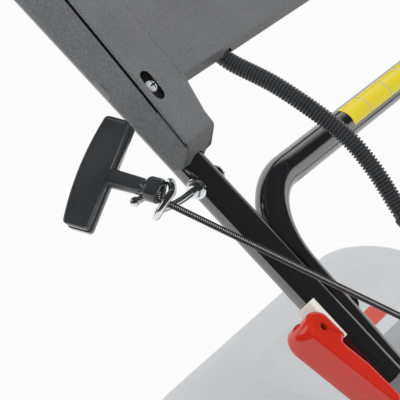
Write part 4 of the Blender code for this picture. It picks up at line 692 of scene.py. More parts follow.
# Turns a profile of radius and height about local Z, closed on itself where it forms a ring
def turned(name, profile, centre, axis, steps=64, ring=False):
    place = standing(centre, axis)
    rings = []
    for k in range(steps):
        turn = 2 * math.pi * k / steps
        x, y = math.cos(turn), math.sin(turn)
        rings.append([place @ Vector((r * x, r * y, h)) for r, h in profile])
    return clean_mesh(name, *skin(rings, closed=ring, round_again=True))


def bridge_section():
    front, back = BRIDGE_FRONT, LEG_COVER_BACK
    top = cover_top
    wall = 0.003
    outer = rounded([
        (front + 0.005, BRIDGE_LOW), (front, 0.023), (front + 0.005, top(front + 0.005)),
        (back, top(back)), (back, BRIDGE_LOW),
    ], [0.0, 0.004, 0.0028, 0.003, 0.0], 6)
    inner = rounded([
        (front + 0.005 + wall, BRIDGE_LOW), (front + wall, 0.023),
        (front + 0.0085, top(front) - wall), (back - wall, top(back) - wall),
        (back - wall, BRIDGE_LOW),
    ], [0.0, 0.002, 0.002, 0.002, 0.0], 6)
    return [*outer, *inner[::-1]]


def make_bridge():
    loop = bridge_section()
    rings = []
    for q in (-0.1905, -0.12, -0.06, 0.0, 0.06, 0.12, 0.1905):
        rings.append([on_upper(s, q, n) for s, n in loop])
    mesh = loft("cover_bridge", rings, capped=False)
    mesh.materials.append(grey_plastic)
    # The lever's slot and the hose's hole take the near-black painted shade on their walls
    slot = rectangle((LEVER_AT - 0.030, LEVER_Q - 0.0026), (LEVER_AT + 0.030, LEVER_Q + 0.0026))
    gap = solid(slot, 0.02, 0.07, on_upper, painted_shade_black)
    hose = solid(circle((HOSE_Q, 0.0200), 0.0078, 36), BRIDGE_FRONT - 0.01, BRIDGE_FRONT + 0.02,
                 lambda q, n, s: on_upper(s, q, n), painted_shade_black)
    mesh = carve(mesh, [gap, hose])
    show("cover_bridge", mesh, None, "upper_handle", ["console_shell"])


# Pan-headed screw with a cross recess, in dull zinc, in each well
screw_zinc = finish("dull_zinc", (0.72, 0.73, 0.75), (0.30, 0.42), metallic=0.35, grain=700.0,
                    bump=0.05, patchy=0.06)


def make_cover_screws():
    profile = [(0.0, 0.0036), (0.0016, 0.0035), (0.0030, 0.0030), (0.0042, 0.0019),
               (0.0047, 0.0008), (0.0047, 0.0002), (0.0044, 0.0), (0.0, 0.0)]
    axis = UPPER.to_3x3() @ Vector((0, 0, 1))
    for name, side in (("right", 1), ("left", -1)):
        leg = side * (UPPER_LEG + SCREW_OUT)
        head = turned("head", profile, on_upper(WELL_AT, leg, WELL_FLOOR + 0.0001), axis, 48)
        head.materials.append(screw_zinc)
        cutters = []
        # The cross recess takes the near-black painted shade
        for long, wide in ((0.0030, 0.00065), (0.00065, 0.0030)):
            cross = rectangle((WELL_AT - long, leg - wide), (WELL_AT + long, leg + wide))
            cutters.append(
                solid(cross, WELL_FLOOR + 0.0015, WELL_FLOOR + 0.01, on_upper, painted_shade_black)
            )
        show(f"cover_screw_{name}", carve(head, cutters), None, "upper_handle",
             [f"console_screw_{name}"])


make_cover_arms()
make_bridge()
make_cover_screws()


# Wire guide for the pull cord: a zinc-plated rod bolted through the right leg by a flanged nut
# on either side, then wound into an open eye that ends in a small ball.
WIRE_R = 0.00275
EYE_R = 0.0120
GUIDE_AT = 0.131
CORD_EXIT = on_mower(0.185, -0.075, 0.3414)
EYE_CENTRE = on_upper(0.1396, UPPER_LEG + 0.066, 0.0106)
CORD_WAY = (CORD_EXIT - EYE_CENTRE).normalized()
zinc = finish("bright_zinc", (0.78, 0.79, 0.80), (0.14, 0.26), metallic=1.0, grain=700.0,
              bump=0.05, patchy=0.06)


# Each point of a path with two directions across it, carried on without twist
def sections_along(path):
    ways = ways_along(path)
    side = ways[0].orthogonal().normalized()
    sections = []
    for point, way in zip(path, ways):
        side = (side - way * side.dot(way)).normalized()
        sections.append((point, side, way.cross(side)))
    return sections


# A round bar along a path, with a flat face drawn in at either end
def round_bar(name, path, radius, sides=24):
    sections = sections_along([Vector(point) for point in path])
    rings = [ring_round(*section, radius, sides) for section in sections]
    first = ring_round(*sections[0], radius * 0.85, sides)
    last = ring_round(*sections[-1], radius * 0.85, sides)
    return loft(name, [first, *rings, last])


def ring_round(centre, side, across, radius, sides):
    ring = []
    for k in range(sides):
        turn = 2 * math.pi * k / sides
        ring.append(centre + side * math.cos(turn) * radius + across * math.sin(turn) * radius)
    return ring


def eased(share):
    return share * share * (3 - 2 * share)


def guide_path():
    out = Vector((0, -1, 0))
    first = (out - CORD_WAY * out.dot(CORD_WAY)).normalized()
    up = first.cross(CORD_WAY)
    start = on_upper(GUIDE_AT, UPPER_LEG - TUBE_R - 0.0070, 0.0)
    leave = on_upper(GUIDE_AT, UPPER_LEG + TUBE_R + 0.012, 0.0)
    join = EYE_CENTRE - up * EYE_R - first * 0.004 + CORD_WAY * 0.0030
    path = [start, leave]
    for k in range(1, 16):
        share = k / 16
        straight = leave + out * (leave - join).length * share
        path.append(straight.lerp(leave.lerp(join, share), eased(share)))
    path.append(join)
    full = 0.53
    for k in range(61):
        share = k / 60
        turn = -math.pi / 2 + math.radians(340) * share
        ring = first * math.cos(turn) + up * math.sin(turn)
        rise = min(1.0, share / full)
        wide = min(1.0, max(0.0, (share - full) / 0.2))
        back = max(0.0, (share - full) / 0.47) ** 1.4
        radius = EYE_R - 0.0024 * eased(rise) + 0.0056 * eased(wide)
        forward = 0.0030 + 0.0034 * rise - 0.0210 * back
        path.append(EYE_CENTRE + ring * radius + CORD_WAY * forward)
    return thickened(path, 0.004)


def joined(name, meshes):
    builder = bmesh.new()
    for mesh in meshes:
        builder.from_mesh(mesh)
    mesh = bpy.data.meshes.new(name)
    builder.to_mesh(mesh)
    builder.free()
    return mesh


def ball(centre, radius):
    turns = [math.pi * k / 12 for k in range(13)]
    profile = [(radius * math.sin(turn), radius * math.cos(turn)) for turn in turns]
    profile[0], profile[-1] = (0.0, radius), (0.0, -radius)
    return turned("ball", profile, centre, (0, 0, 1), 24)


# A hexagon nut with chamfered corners on a round flange, along an axis from its seat
def flange_nut(seat, axis, across_flats=0.0098, height=0.0050, flange=0.0078, thick=0.0014):
    axis = Vector(axis).normalized()
    side = axis.orthogonal().normalized()
    turn = axis.cross(side)
    corner = across_flats / math.sqrt(3)
    sixth = math.pi / 6
    levels = [
        (0.0, flange, 1), (thick * 0.7, flange, 1), (thick, flange * 0.93, 1), (thick, corner, 0),
        (thick + height - 0.0006, corner, 0), (thick + height, corner * 0.90, 0.4),
    ]
    rings = []
    for level, radius, roundness in levels:
        ring = []
        for k in range(48):
            angle = 2 * math.pi * k / 48
            near = (angle + sixth) % (2 * sixth) - sixth
            r = radius
            if roundness < 1:
                hexed = radius * math.cos(sixth) / math.cos(near if abs(near) < sixth else sixth)
                r = hexed * (1 - roundness) + radius * 0.95 * roundness
            out = side * math.cos(angle) + turn * math.sin(angle)
            ring.append(Vector(seat) + axis * level + out * r)
        rings.append(ring)
    return loft("nut", rings)


def make_cord_guide():
    path = guide_path()
    meshes = [round_bar("wire", path, WIRE_R, 24), ball(path[-1], 0.0036)]
    axis = UPPER.to_3x3() @ Vector((0, 1, 0))
    for side, q in ((1, UPPER_LEG + TUBE_R + 0.0002), (-1, UPPER_LEG - TUBE_R - 0.0002)):
        meshes.append(flange_nut(on_upper(GUIDE_AT, q, 0), axis * side))
    show("cord_guide", joined("cord_guide", meshes), zinc, "upper_handle", ["rope_guide"],
         angle=40)


make_cord_guide()


# Pull handle: a crowned bar on a short neck and collar, moulded in gloss black plastic with a
# raised rim round each broad face. The cord's knot sits in the bar, whose neck leans in the eye.
NECK_LENGTH = 0.0434
BAR_WAY = Vector((-0.0167, -0.6949, -0.7189)).normalized()
HANDLE_WAY = Vector((-0.9988, -0.0191, 0.0464)).normalized()
HANDLE_END = EYE_CENTRE + Vector((0.00218, 0.00318, 0.00404))

gloss_plastic = finish("gloss_black_plastic", (0.032, 0.033, 0.035), (0.14, 0.26), grain=700.0,
                       bump=0.06, patch=45.0, patchy=0.35, scuff=(30.0, 0.62),
                       scuff_colour=(0.075, 0.075, 0.078), coat=0.8)


def pull_frame():
    bar = (BAR_WAY - HANDLE_WAY * BAR_WAY.dot(HANDLE_WAY)).normalized()
    return frame_at(HANDLE_END, bar, HANDLE_WAY, bar.cross(HANDLE_WAY))


PULL = pull_frame()


# An outline moved in by a distance, each corner along its own bisector
def drawn_in(outline, distance):
    count = len(outline)
    pairs = zip(outline, [*outline[1:], outline[0]])
    sign = 1 if sum(a[0] * b[1] - b[0] * a[1] for a, b in pairs) > 0 else -1
    result = []
    for k in range(count):
        here = Vector(outline[k][:2])
        before = (here - Vector(outline[k - 1][:2])).normalized()
        after = (Vector(outline[(k + 1) % count][:2]) - here).normalized()
        normal = Vector((-before.y - after.y, before.x + after.x)) * sign
        if normal.length < 1e-6:
            normal = Vector((-before.y, before.x)) * sign
        normal.normalize()
        facing = max(0.5, normal.dot(Vector((-before.y, before.x)) * sign))
        result.append(tuple(here + normal * distance / facing))
    return result


# A plate whose edges follow a profile of (inset, level) pairs, laid out by to_point
def moulded(name, outline, profile, to_point):
    return loft(name, [
        [to_point(x, y, level) for x, y in drawn_in(outline, inset)] for inset, level in profile
    ])


# A profile of pairs carried on to the other side of the middle
def mirrored(profile, middle=()):
    return [*profile, *middle, *[(first, -second) for first, second in profile[::-1]]]


def make_pull_handle():
    half = 0.041
    near = NECK_LENGTH - 0.002
    far = near + 0.019
    shares = [1 - 2 * k / 16 for k in range(17)]
    crown = [(half * share, far + 0.0040 - 0.0042 * share ** 2) for share in shares]
    corners = [(-half, near), (half, near), *crown]
    radii = [0.0030, 0.0030, 0.0032, *[0.0] * (len(crown) - 2), 0.0032]
    outline = []
    for index, corner in enumerate(corners):
        if radii[index] == 0.0:
            outline.append(corner)
            continue
        trio = [corners[index - 1], corner, corners[(index + 1) % len(corners)]]
        outline += rounded(trio, radii[index], 6)[1:-1]
    t = 0.0155 / 2
    profile = mirrored([
        (0.0031, -t + 0.0005), (0.0026, -t + 0.0005), (0.0022, -t), (0.0014, -t),
        (0.0006, -t + 0.0003), (0.0, -t + 0.0012), (0.0, -0.0024), (0.0008, -0.0018),
    ])
    bar = moulded("bar", outline, profile, lambda x, y, z: PULL @ Vector((x, y, z)))
    low = 0.0105 + 0.002
    neck = [
        (0.0, NECK_LENGTH + 0.004), (0.0078, NECK_LENGTH + 0.004), (0.0074, NECK_LENGTH - 0.001),
        (0.0068, NECK_LENGTH - 0.005), (0.0063, low + 0.008), (0.0062, low + 0.002),
        (0.0068, low + 0.0008), (0.0078, low), (0.0086, low - 0.0006), (0.0090, low - 0.0018),
        (0.0090, 0.0040), (0.0086, 0.0028), (0.0076, 0.0021), (0.0034, 0.0020), (0.0031, 0.0026),
        (0.0031, 0.010), (0.0, 0.010),
    ]
    stem = turned("stem", neck, PULL.translation, PULL.to_3x3() @ Vector((0, 1, 0)), 48)
    show("pull_handle", joined("pull_handle", [bar, stem]), gloss_plastic, "starter_handle",
         ["starter_handle"], angle=38)


make_pull_handle()


# Pull cord: 4.6 mm braided polyester rope, black, with the top of each strand crossing coloured
# pale, so that the crossings show as two rows of ticks. It runs taut from the eye to the starter
# and lies on the reel.
CORD_R = 0.0023
SHAFT_X, REEL_Z = 0.270, 0.3305
BRAID_PITCH = 0.00075
BRAID_STRANDS = 8


# Two strand families crossing: X counts strands round the cord, Y crossings along it
def braid_paint():
    material = finish("braided_cord", (0.020, 0.020, 0.021), (0.50, 0.70), grain=2500.0, bump=0.25)
    tree = material.node_tree
    chart = add(tree, "ShaderNodeUVMap", uv_map="braid").outputs["UV"]
    split = add(tree, "ShaderNodeSeparateXYZ", {0: chart}).outputs
    round_it, along_it = [
        maths(tree, "COSINE", maths(tree, "MULTIPLY", split[axis], math.pi)) for axis in "XY"
    ]
    crossing = maths(tree, "MULTIPLY", maths(tree, "MAXIMUM", round_it, 0.0), along_it)
    shader = tree.nodes["Principled BSDF"]
    grain = shader.inputs["Normal"].links[0].from_socket
    raised = {"Strength": 0.8, "Distance": BUMP_DEPTH, "Height": crossing, "Normal": grain}
    feed(tree, shader, {"Normal": add(tree, "ShaderNodeBump", raised).outputs["Normal"]})
    return overlaid(material, remap(tree, crossing, (0.20, 0.55)), (0.60, 0.60, 0.58))


# A round cord with its braid laid out as UV, round it and along it
def braided(name, path, radius):
    sides = 20
    path = [Vector(point) for point in path]
    points, faces = skin([ring_round(*part, radius, sides) for part in sections_along(path)])
    along = [0.0]
    for first, second in zip(path, path[1:]):
        along.append(along[-1] + (second - first).length / BRAID_PITCH)
    chart = []
    for near, far in zip(along, along[1:]):
        for k in range(sides):
            low, high = BRAID_STRANDS * k / sides, BRAID_STRANDS * (k + 1) / sides
            chart += [low, near, high, near, high, far, low, far]
    faces.append(list(range(sides))[::-1])
    faces.append([len(points) - sides + k for k in range(sides)])
    chart += [0.25] * (4 * sides)
    mesh = bpy.data.meshes.new(name)
    mesh.from_pydata(points, [], faces)
    mesh.uv_layers.new(name="braid").data.foreach_set("uv", chart)
    return mesh


def smooth_route(points, count):
    points = [Vector(point) for point in points]
    ends = [points[0] * 2 - points[1], *points, points[-1] * 2 - points[-2]]
    dense = []
    for index in range(1, len(ends) - 2):
        p0, p1, p2, p3 = ends[index - 1:index + 3]
        bend = 2 * p0 - 5 * p1 + 4 * p2 - p3
        twist = 3 * p1 - p0 - 3 * p2 + p3
        for step in range(24):
            t = step / 24
            dense.append(0.5 * (2 * p1 + (p2 - p0) * t + bend * t * t + twist * t ** 3))
    dense.append(points[-1])
    lengths = [0.0]
    for first, second in zip(dense, dense[1:]):
        lengths.append(lengths[-1] + (second - first).length)
    route, at = [], 0
    for step in range(count):
        target = lengths[-1] * step / (count - 1)
        while at < len(lengths) - 2 and lengths[at + 1] < target:
            at += 1
        share = (target - lengths[at]) / (lengths[at + 1] - lengths[at])
        route.append(dense[at].lerp(dense[at + 1], share))
    return route


def make_pull_cord():
    reel = on_mower(SHAFT_X, 0.0, REEL_Z)
    start = math.atan2(CORD_WAY.y, CORD_WAY.x) - math.pi / 2
    coil = []
    for k in range(4):
        turn = start + math.radians(16 * k - 4)
        coil.append(reel + Vector((math.cos(turn), math.sin(turn), 0)) * 0.0415)
    route = smooth_route([
        EYE_CENTRE + CORD_WAY * 0.0005, EYE_CENTRE.lerp(CORD_EXIT, 0.5),
        *[CORD_EXIT + CORD_WAY * far for far in (-0.02, 0.0, 0.014, 0.024)], *coil,
    ], 60)
    cord = show("pull_cord", braided("pull_cord", thickened(route, 0.004), CORD_R), braid_paint(),
                None, angle=180)
    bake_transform(cord)
    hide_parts("starter_rope")
    inner = thickened([
        HANDLE_END + HANDLE_WAY * 0.008, HANDLE_END + HANDLE_WAY * 0.003,
        EYE_CENTRE + CORD_WAY * 0.0004,
    ], 0.0006)
    stub = show("pull_cord_stub", braided("pull_cord_stub", inner, 0.0024),
                cord.data.materials[0], None, angle=180)
    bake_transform(stub)


make_pull_cord()


# Hose of corrugated black plastic round the control cables, ribbed all along between two plain
# cuffs. It leaves the cover's bridge and ends above the crossbar.
HOSE_R = 0.0067
HOSE_PITCH = 0.0027
HOSE_UPPER = [(BRIDGE_FRONT + 0.014, 0.0195), (BRIDGE_FRONT - 0.004, 0.0205), (0.150, 0.0370),
              (0.096, 0.0500), (0.060, 0.0490), (0.024, 0.0410)]
HOSE_ROUTE = [on_upper(s, HOSE_Q, n) for s, n in HOSE_UPPER] + [on_mower(-0.4170, -0.1203, 0.5932)]
hose_plastic = finish("hose_plastic", (0.044, 0.045, 0.048), (0.22, 0.36), grain=1400.0, bump=0.10,
                      patchy=0.25)
black_plastic = finish(
    "black_plastic", (0.020, 0.020, 0.022), (0.38, 0.52), grain=1400.0, bump=0.22, patchy=0.15,
    scuff=(40.0, 0.70), scuff_colour=(0.06, 0.06, 0.06),
)


# Geometry nodes: copies of a piece on points that a function lays out, in their finish
def copies_tree(name, measure, kind, lay_points):
    tree = bpy.data.node_groups.new(name, "GeometryNodeTree")
    sockets = {"Line": "Geometry", "Piece": "Object", measure: kind, "Finish": "Material"}
    for label, socket in sockets.items():
        tree.interface.new_socket(name=label, in_out="INPUT", socket_type=f"NodeSocket{socket}")
    tree.interface.new_socket(name="Copies", in_out="OUTPUT", socket_type="NodeSocketGeometry")
    given = tree.nodes.new("NodeGroupInput").outputs
    out = tree.nodes.new("NodeGroupOutput")
    points, turn = lay_points(tree, given)
    shape = add(tree, "GeometryNodeObjectInfo", {"Object": given["Piece"]}).outputs["Geometry"]
    laid = {"Points": points, "Rotation": turn, "Instance": shape}
    copies = add(tree, "GeometryNodeInstanceOnPoints", laid).outputs[0]
    real = add(tree, "GeometryNodeRealizeInstances", {0: copies}).outputs[0]
    dressed = {"Geometry": real, "Material": given["Finish"]}
    tree.links.new(add(tree, "GeometryNodeSetMaterial", dressed).outputs[0], out.inputs[0])
    return tree


# Points along a hose at the pitch of its ribs, each turned to the hose
def points_along(tree, given):
    along = {"Curve": given["Line"], "Length": given["Pitch"]}
    spaced = add(tree, "GeometryNodeCurveToPoints", along, mode="LENGTH")
    return spaced.outputs["Points"], spaced.outputs["Rotation"]


def with_inputs(obj, tree, values):
    step = obj.modifiers.new(tree.name, "NODES")
    step.node_group = tree
    for item in tree.interface.items_tree:
        if item.in_out == "INPUT" and item.name in values:
            step[item.identifier] = values[item.name]


def curve_of(name, path):
    curve = bpy.data.curves.new(name, "CURVE")
    curve.dimensions = "3D"
    spline = curve.splines.new("POLY")
    spline.points.add(len(path) - 1)
    for k, point in enumerate(path):
        spline.points[k].co = (*point, 1.0)
    obj = bpy.data.objects.new(name, curve)
    bpy.context.scene.collection.objects.link(obj)
    return obj


def make_hose():
    cuff = 0.007
    route = smooth_route(HOSE_ROUTE, 90)
    groove = HOSE_R - 0.0012
    profile = mirrored([(groove - 0.0004, -0.00135), (groove, -0.00105),
                        (HOSE_R - 0.0002, -0.00070), (HOSE_R, -0.00045)])
    rib = temporary(turned("rib", profile, (0, 0, 0), (0, 0, 1), 28))
    between = [p for p in route if min((p - end).length for end in (route[0], route[-1])) > cuff]
    line = curve_of("hose_line", between)
    tree = copies_tree("ribs_along_a_hose", "Pitch", "Float", points_along)
    with_inputs(line, tree, {"Piece": rib, "Pitch": HOSE_PITCH, "Finish": hose_plastic})
    bpy.context.view_layer.update()
    ribs = applied(line)
    bpy.data.objects.remove(rib)
    core = round_bar("core", route, groove - 0.0002, 28)
    cuffs = [round_bar("cuff", end, HOSE_R - 0.0002, 28) for end in (route[:7], route[-7:])]
    mesh = joined("cable_hose", [ribs, core, *cuffs])
    hose = show("cable_hose", mesh, hose_plastic, "upper_handle", ["cable_conduit"],
                angle=60)
    way = (route[-1] - route[-3]).normalized()
    profile = [(0.0066, -0.012), (0.0078, -0.011), (0.0078, -0.0015), (0.0072, 0.0),
               (0.0045, 0.0), (0.0045, -0.003), (0.0062, -0.0035)]
    collar = show("hose_collar", turned("hose_collar", profile, route[-1], way, 36, ring=True),
                  black_plastic, "upper_handle")


make_hose()


# Quick clamps: a pale saddle on the tube, coloured a bright cream all over that paints in the
# sheen of its lit face, a bolt through both handles with an eye outside, and a red cam lever that
# turns on the eye's cross pin and pulls the legs together.
# Bright cream: partly the saddle's own pale surface, partly painted sheen of its lit face
cream_enamel = finish("cream_enamel", (0.80, 0.78, 0.72), (0.12, 0.22), grain=500.0, bump=0.05,
                      patchy=0.04, coat=0.3)
red_plastic = finish("gloss_red_plastic", (0.55, 0.020, 0.008), (0.10, 0.18), grain=600.0,
                     bump=0.03, patch=40.0, patchy=0.10, specular=0.7)


# A CAD node's own shape with its flat faces joined and its edges rounded off
def softened(name, node, material, body, width=0.0010, segments=3, angle=34.0, cutters=()):
    builder = bmesh.new()
    builder.from_mesh(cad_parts[node].data)
    bmesh.ops.remove_doubles(builder, verts=builder.verts, dist=0.00002)
    bmesh.ops.dissolve_limit(builder, angle_limit=math.radians(1.0), verts=builder.verts,
                             edges=builder.edges)
    mesh = bpy.data.meshes.new(name)
    builder.to_mesh(mesh)
    builder.free()
    obj = temporary(mesh)
    edge = obj.modifiers.new("edge", "BEVEL")
    edge.width = width
    edge.segments = segments
    edge.limit_method = "ANGLE"
    edge.angle_limit = math.radians(angle)
    edge.miter_outer = "MITER_ARC"
    bpy.context.view_layer.update()
    mesh = applied(obj)
    if cutters:
        mesh.materials.append(material)
        mesh, material = carve(mesh, cutters), None
    return show(name, mesh, material, body, [node], angle=angle)


CAM_OUT = 0.0308
CAM_R = 0.0138
CAM_HALF = 0.0134
CAM_SLOT = 0.0044
SADDLE_BACK, SADDLE_FRONT = 0.0150, 0.0195


def side_name(side):
    return "right" if side > 0 else "left"


# The lever seen along its cross pin: a round cam with a flat that bears on the saddle, and a
# finger lever that stands off the tube
def cam_outline():
    around = arc((0.0, CAM_OUT), CAM_R, -64, 96, 20)
    tip = arc((-0.0680, 0.0230), 0.0056, 110, 260, 10)
    inner = [(-0.040, 0.0195), (-0.0215, 0.0240), (-0.0172, 0.0244), (-0.0150, 0.0200),
             (-0.0144, 0.0176), (-0.0130, 0.0170)]
    return around + tip + inner


def make_cam(name, side):
    profile = mirrored([
        (0.0036, -CAM_HALF), (0.0024, -CAM_HALF + 0.0002), (0.0013, -CAM_HALF + 0.0008),
        (0.0005, -CAM_HALF + 0.0018), (0.0, -CAM_HALF + 0.0033),
    ])
    place = on_leg(side)
    cam = moulded("cam", cam_outline(), profile, place)
    cam.materials.append(red_plastic)
    bore = solid(circle((0.0, CAM_OUT), 0.00315, 30), -0.02, 0.02, place, red_plastic)
    slot = rectangle((-0.0078, 0.0), (0.03, 0.0383))
    gap = solid(slot, -CAM_SLOT, CAM_SLOT, place, red_plastic)
    show(name, carve(cam, [bore, gap]), None, name, [f"cam_lever_{side_name(side)}"],
         angle=28)


# Saddle: a block hollowed to the tube, its outer face flat for the cam
def make_saddle(name, side):
    place = on_leg(side)
    face = TUBE_R + 0.0038
    hollow = arc((0.0, 0.0), TUBE_R + 0.0003, -38, 38, 19)
    outside = rounded([(0.0126, 0.0084), (face, 0.0072), (face, -0.0072), (0.0126, -0.0084)],
                      [0.0, 0.0014, 0.0014, 0.0], 4)
    block = solid(hollow + outside, -SADDLE_BACK, SADDLE_FRONT, lambda q, n, s: place(s, q, n),
                  cream_enamel)
    hole = solid(circle((0.0, 0.0), 0.0043, 30), 0.0, 0.03, lambda s, n, q: place(s, q, n),
                 cream_enamel)
    show(name, carve(block, [hole]), None, "upper_handle", [f"clamp_saddle_{side_name(side)}"],
         angle=34)


def make_clamps():
    for side in (1, -1):
        name = side_name(side)
        make_saddle(f"clamp_plate_{name}", side)
        make_cam(f"cam_{name}", side)
        # The rod's hollow ends take the near-black painted shade
        hollow = circle((0.0, CAM_OUT), 0.0018, 24)
        ends = []
        for low in (0.006, -0.015):
            ends.append(solid(hollow, low, low + 0.009, on_leg(side), painted_shade_black))
        softened(f"clamp_rod_{name}", f"clamp_bolt_{name}", zinc, "upper_handle", 0.0003,
                 2, cutters=ends)


make_clamps()


# Control bails: two wire loops pivoted in the upper handle's legs near the grip, the brake's
# above the handle and the drive's below it, enamelled black.
BRAKE_PIVOT, DRIVE_PIVOT = 0.470, 0.448
BAIL_REST = math.radians(24.0)
BAIL_LENGTH = 0.205


def make_bail(name, pivot, rest, body, inset=0.0):
    inner = UPPER_LEG - TUBE_R
    half, end = inner - 0.010 - inset, inner + 0.007
    corners = [(0, end, 0), *handle_corners(0, BAIL_LENGTH, half), (0, -end, 0)]
    path = thickened(rounded(corners, [0, 0.007, 0.030, 0.030, 0.007, 0], 10), 0.02)
    place = UPPER @ Matrix.Translation((pivot, 0, 0)) @ Matrix.Rotation(-rest, 4, "Y")
    wire = round_bar(name, [place @ p for p in path], 0.004, 20)
    show(name, wire, black_enamel, body, [body])


make_bail("brake_bail_loop", BRAKE_PIVOT, BAIL_REST, "brake_bail")
make_bail("drive_bail_loop", DRIVE_PIVOT, -BAIL_REST, "drive_bail", 0.0095)


# Grip: a sleeve of ribbed black rubber over the middle of the upper handle's crossbar.
black_rubber = finish("black_rubber", (0.018, 0.018, 0.019), (0.60, 0.78), grain=1200.0, bump=0.3,
                      patchy=0.2)


def make_grip():
    half, outer, bore = 0.130, 0.0172, TUBE_R + 0.0003
    ribs = 46
    wide = (2 * half - 0.016) / ribs
    end = [(bore, -half), (outer - 0.0016, -half), (outer - 0.0004, -half + 0.0008),
           (outer, -half + 0.003)]
    ribbed = []
    for k in range(ribs):
        at = -half + 0.008 + wide * k
        ribbed += [(outer, at), (outer - 0.0009, at + 0.18 * wide),
                   (outer - 0.0009, at + 0.32 * wide), (outer, at + 0.5 * wide)]
    profile = mirrored(end, ribbed)
    mesh = turned("grip_sleeve", profile, on_upper(UPPER_LENGTH, 0, 0), (0, 1, 0), 40, ring=True)
    show("grip_sleeve", mesh, black_rubber, "upper_handle", ["handle_grip"])


make_grip()
softened("throttle_tab", "throttle_lever", red_plastic, "throttle_lever", 0.0008)


# Grass box: a black moulded tub, a pale grey lid with rounded borders over it, and a pale
# carrying handle let into a tray in the lid.
BOX_FRONT, BOX_REAR = -0.1355, -0.630
BOX_FRONT_HALF, BOX_REAR_HALF = 0.180, 0.196
BOX_RIM = 0.308
LID_LIP_END, LID_TOP = -0.225, 0.4300
GRIP_X = -0.436

pale_plastic = finish("pale_grey_plastic", (0.60, 0.61, 0.63), (0.36, 0.50), grain=1300.0,
                      bump=0.16, patch=12.0, patchy=0.05)


def box_ring(front, inset, z):
    spread = (BOX_REAR_HALF - BOX_FRONT_HALF) / (BOX_FRONT - BOX_REAR)
    half = BOX_FRONT_HALF + spread * (BOX_FRONT - front) - inset
    rear, rear_half = BOX_REAR + inset, BOX_REAR_HALF - inset
    corners = [(rear, -rear_half), (front - inset, -half), (front - inset, half),
               (rear, rear_half)]
    ring = rounded(corners, [0.045, 0.022, 0.022, 0.045], 14, closed=True)
    return [on_mower(x, y, z) for x, y in ring]


def curve_through(points, steps):
    return [(p.x, p.y) for p in smooth_route([Vector((x, y, 0)) for x, y in points], steps)]


def make_box():
    levels = [(0.0, BOX_RIM), (0.0012, 0.280), (0.003, 0.248), (0.006, 0.200), (0.010, 0.160),
              (0.015, 0.146), (0.022, 0.138), (0.029, 0.133), (0.036, 0.130)]
    wall = 0.003
    outer, inner = [], []
    for inset, z in levels:
        front = BOX_FRONT + inset * 0.97
        outer.append(box_ring(front, inset, z))
        inner.append(box_ring(front, inset + wall, z + (wall if z < 0.2 else 0.0)))
    mouth = rounded_box((-0.152, 0.186), (0.152, 0.300), 0.012, 6)
    cutter = solid(mouth, BOX_FRONT - 0.022, BOX_FRONT + 0.02, lambda y, z, x: on_mower(x, y, z))
    mesh = carve(loft("grass_tub", inner[::-1] + outer), [cutter])
    show("grass_tub", mesh, black_plastic, "grass_box", ["grass_box_base"])


# The lid's plastic, coloured red in a band behind the grip's tray
def banded_plastic():
    material = finish("banded_lid_plastic", (0.58, 0.59, 0.60), (0.30, 0.45), grain=700.0,
                      bump=0.05, patch=8.0, patchy=0.05)
    tree = material.node_tree
    split = axes_of(tree, "Object")[1]
    inside = 1.0
    for axis, low, high in (("X", -0.352, -0.3225), ("Y", -0.035, 0.035)):
        for operation, limit in (("GREATER_THAN", low), ("LESS_THAN", high)):
            test = maths(tree, operation, split[axis], limit)
            inside = maths(tree, "MULTIPLY", inside, test)
    return overlaid(material, inside, (0.62, 0.05, 0.03))


lid_plastic = banded_plastic()


def lid_levels():
    return curve_through([
        (0.0, BOX_RIM + 0.0003), (0.0, 0.335), (0.0, 0.356), (0.0045, 0.383), (0.016, 0.4065),
        (0.036, 0.4220), (0.070, LID_TOP),
    ], 30)


def make_lid():
    wall = 0.003
    outer, inner = [], []
    for inset, z in lid_levels():
        front = LID_LIP_END + inset * 0.4
        outer.append(box_ring(front, inset, z))
        inner.append(box_ring(front, inset + (wall if inset < 0.03 else 0.0),
                              z - (wall if inset >= 0.016 else 0.0)))
    tray = rounded_box((GRIP_X - 0.0525, -0.0805), (GRIP_X + 0.0525, 0.0805), 0.004, 4)
    cutter = solid(tray, 0.39, 0.46, on_mower)
    mesh = carve(loft("grass_lid", inner[::-1] + outer), [cutter])
    low, high = BOX_RIM + 0.0003, 0.3140
    outline = rounded_box((LID_LIP_END - 0.004, -0.168), (BOX_FRONT, 0.168),
                          [0.001, 0.008, 0.008, 0.001], 5)
    profile = [(0.0006, low), (0.0, low + 0.0008), (0.0, high - 0.0012), (0.0004, high - 0.0004),
               (0.0014, high)]
    lip = moulded("lip", outline, profile, on_mower)
    show("grass_lid", joined("grass_lid", [mesh, lip]), lid_plastic, "grass_box",
         ["grass_box_lid"])
    softened("lid_grip", "lid_handle", pale_plastic, "grass_box", 0.0025, 4)


make_box()
make_lid()


# Deck: a pressed steel shell enamelled red, with rounded shoulders and an open outlet at the
# back under the black plastic hood that leads cut grass to the box.
red_enamel = finish("red_enamel", (0.60, 0.030, 0.016), (0.14, 0.26), grain=500.0, bump=0.06,
                    patchy=0.08, scuff=(30.0, 0.72), scuff_colour=(0.25, 0.08, 0.06), coat=0.35)
DECK_REAR, DECK_FRONT, DECK_HALF = -0.120, 0.605, 0.215
DECK_TOP, DECK_SKIRT = 0.175, 0.052


def deck_ring(inset, z):
    half = DECK_HALF - inset
    bends = [bend - inset for bend in (0.042, 0.110, 0.110, 0.042)]
    outline = rounded_box((DECK_REAR + inset, -half), (DECK_FRONT - inset, half), bends, 16)
    return [on_mower(x, y, z) for x, y in outline]


